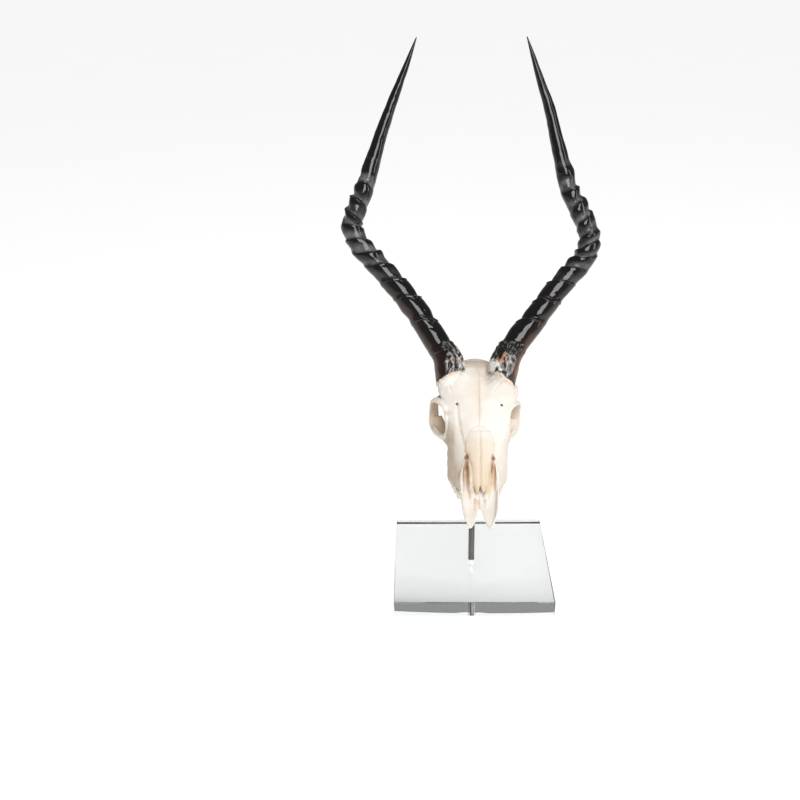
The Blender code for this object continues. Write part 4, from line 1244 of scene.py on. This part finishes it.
def enamel_material():
    n = Nodes("tooth_enamel")
    colour = n.mix(n.fit(n.grain(160, 5), 0.35, 0.7), (0.74, 0.66, 0.52), (0.86, 0.80, 0.69))
    blot = n.fit(n.grain(420, 4), 0.3, 0.7, 0.35, 1.0)
    # Stains with painted shade at the root, in the bite hollows and in the fold
    colour = n.mix(n.times(n.painted("stain_and_shade"), blot), colour, (0.14, 0.075, 0.035))
    n.drive("Base Color", colour)
    n.drive("Roughness", n.fit(n.grain(200, 3), 0.3, 0.7, 0.22, 0.4))
    n.drive("Normal", n.relief(n.grain(900, 4, squash=(1, 1, 0.25)), 0.3, 0.0004))
    return n.material


def steel_material():
    n = Nodes("drawn_steel")
    streak = n.grain(1400, 4, squash=(1, 1, 0.02))
    colour = n.mix(n.fit(streak, 0.3, 0.7), (0.09, 0.085, 0.08), (0.20, 0.19, 0.18))
    n.drive("Base Color", colour)
    n.drive("Roughness", n.fit(streak, 0.3, 0.7, 0.1, 0.2))
    n.shader.inputs["Metallic"].default_value = 1.0
    n.drive("Normal", n.relief(streak, 0.15, 0.0002))
    return n.material


def acrylic_material():
    n = Nodes("clear_acrylic")
    n.shader.inputs["Base Color"].default_value = (0.97, 0.985, 0.98, 1.0)
    n.shader.inputs["Transmission Weight"].default_value = 1.0
    n.shader.inputs["IOR"].default_value = 1.49
    n.drive("Roughness", n.fit(n.grain(30, 3), 0.3, 0.7, 0.0, 0.02))
    soak = n.add("ShaderNodeVolumeAbsorption")
    soak.inputs["Color"].default_value = (0.84, 0.90, 0.89, 1.0)
    soak.inputs["Density"].default_value = 1.8
    n.join(soak.outputs["Volume"], n.tree.nodes["Material Output"].inputs["Volume"])
    return n.material


def floor_material():
    """A pale sheet that glows a little behind the object and less in front of it."""
    n = Nodes("pale_floor")
    n.drive("Base Color", n.mix(n.fit(n.grain(3, 3), 0.3, 0.7), (0.40, 0.40, 0.40), (0.42, 0.42, 0.415)))
    n.shader.inputs["Roughness"].default_value = 0.7
    n.shader.inputs["Emission Color"].default_value = (1.0, 1.0, 1.0, 1.0)
    place = n.add("ShaderNodeSeparateXYZ")
    n.join(n.where, place.inputs["Vector"])
    n.drive("Emission Strength", n.fit(place.outputs["Y"], -3.6, -2.4, 0.45, 0.8))
    return n.material


# Scene

def finish_piece(piece, material, slot, *nodes):
    piece.data.materials.clear()
    piece.data.materials.append(material)
    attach(piece, "root")
    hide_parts(*nodes)


def make_floor():
    bm = bmesh.new()
    bmesh.ops.create_grid(bm, x_segments=1, y_segments=1, size=FLOOR_SIZE)
    floor = add_mesh_object("floor", bm)
    floor.location = FLOOR_PLACE
    floor.data.materials.append(floor_material())


def add_softbox(name, place, width, height, power):
    light = bpy.data.lights.new(name, "AREA")
    light.shape = "RECTANGLE"
    light.size = width
    light.size_y = height
    light.energy = power
    lamp = put_in_scene(name, light)
    lamp.location = place
    aim = Vector(LIGHT_TARGET) - Vector(place)
    lamp.rotation_euler = aim.to_track_quat("-Z", "Y").to_euler()


def make_lights():
    for name, values in SOFTBOXES.items():
        add_softbox(name, *values)
    world = bpy.data.worlds.new("studio")
    world.use_nodes = True
    world.node_tree.nodes["Background"].inputs["Color"].default_value = (1.0, 1.0, 1.0, 1.0)
    world.node_tree.nodes["Background"].inputs["Strength"].default_value = WORLD_STRENGTH
    bpy.context.scene.world = world


def make_camera():
    pitch, yaw, roll = (radians(angle) for angle in (CAMERA_PITCH, CAMERA_YAW, CAMERA_ROLL))
    ahead = Vector((sin(yaw) * cos(pitch), cos(yaw) * cos(pitch), -sin(pitch)))
    level = Vector((cos(yaw), -sin(yaw), 0))
    down = ahead.cross(level)
    right = cos(roll) * level + sin(roll) * down
    under = -sin(roll) * level + cos(roll) * down
    data = bpy.data.cameras.new("camera")
    data.sensor_width = SENSOR_WIDTH
    data.lens = CAMERA_LENS
    camera = put_in_scene("camera", data)
    turn = Matrix((right, -under, -ahead)).transposed().to_4x4()
    camera.matrix_world = Matrix.Translation(CAMERA_PLACE) @ turn
    bpy.context.scene.camera = camera


def main():
    left = HornPath(LEFT_HORN, -1)
    right = HornPath(RIGHT_HORN, 1)
    horn = horn_material()
    finish_piece(make_skull((left, right)), bone_material(), "bone", "skull")
    left_horn = make_horn("left_horn", left, LEFT_RIDGES, LEFT_FRAY, SEED)
    right_horn = make_horn("right_horn", right, RIGHT_RIDGES, RIGHT_FRAY, SEED + RIGHT_HORN_SEED)
    finish_piece(left_horn, horn, "horn", "horn_left")
    finish_piece(right_horn, horn, "horn", "horn_right")
    make_teeth(enamel_material())
    finish_piece(make_rod(), steel_material(), "steel", "rod")
    finish_piece(make_block(), acrylic_material(), "clear_acrylic", "base")
    make_floor()
    make_lights()
    make_camera()
    bpy.context.scene.view_settings.view_transform = "Standard"


main()
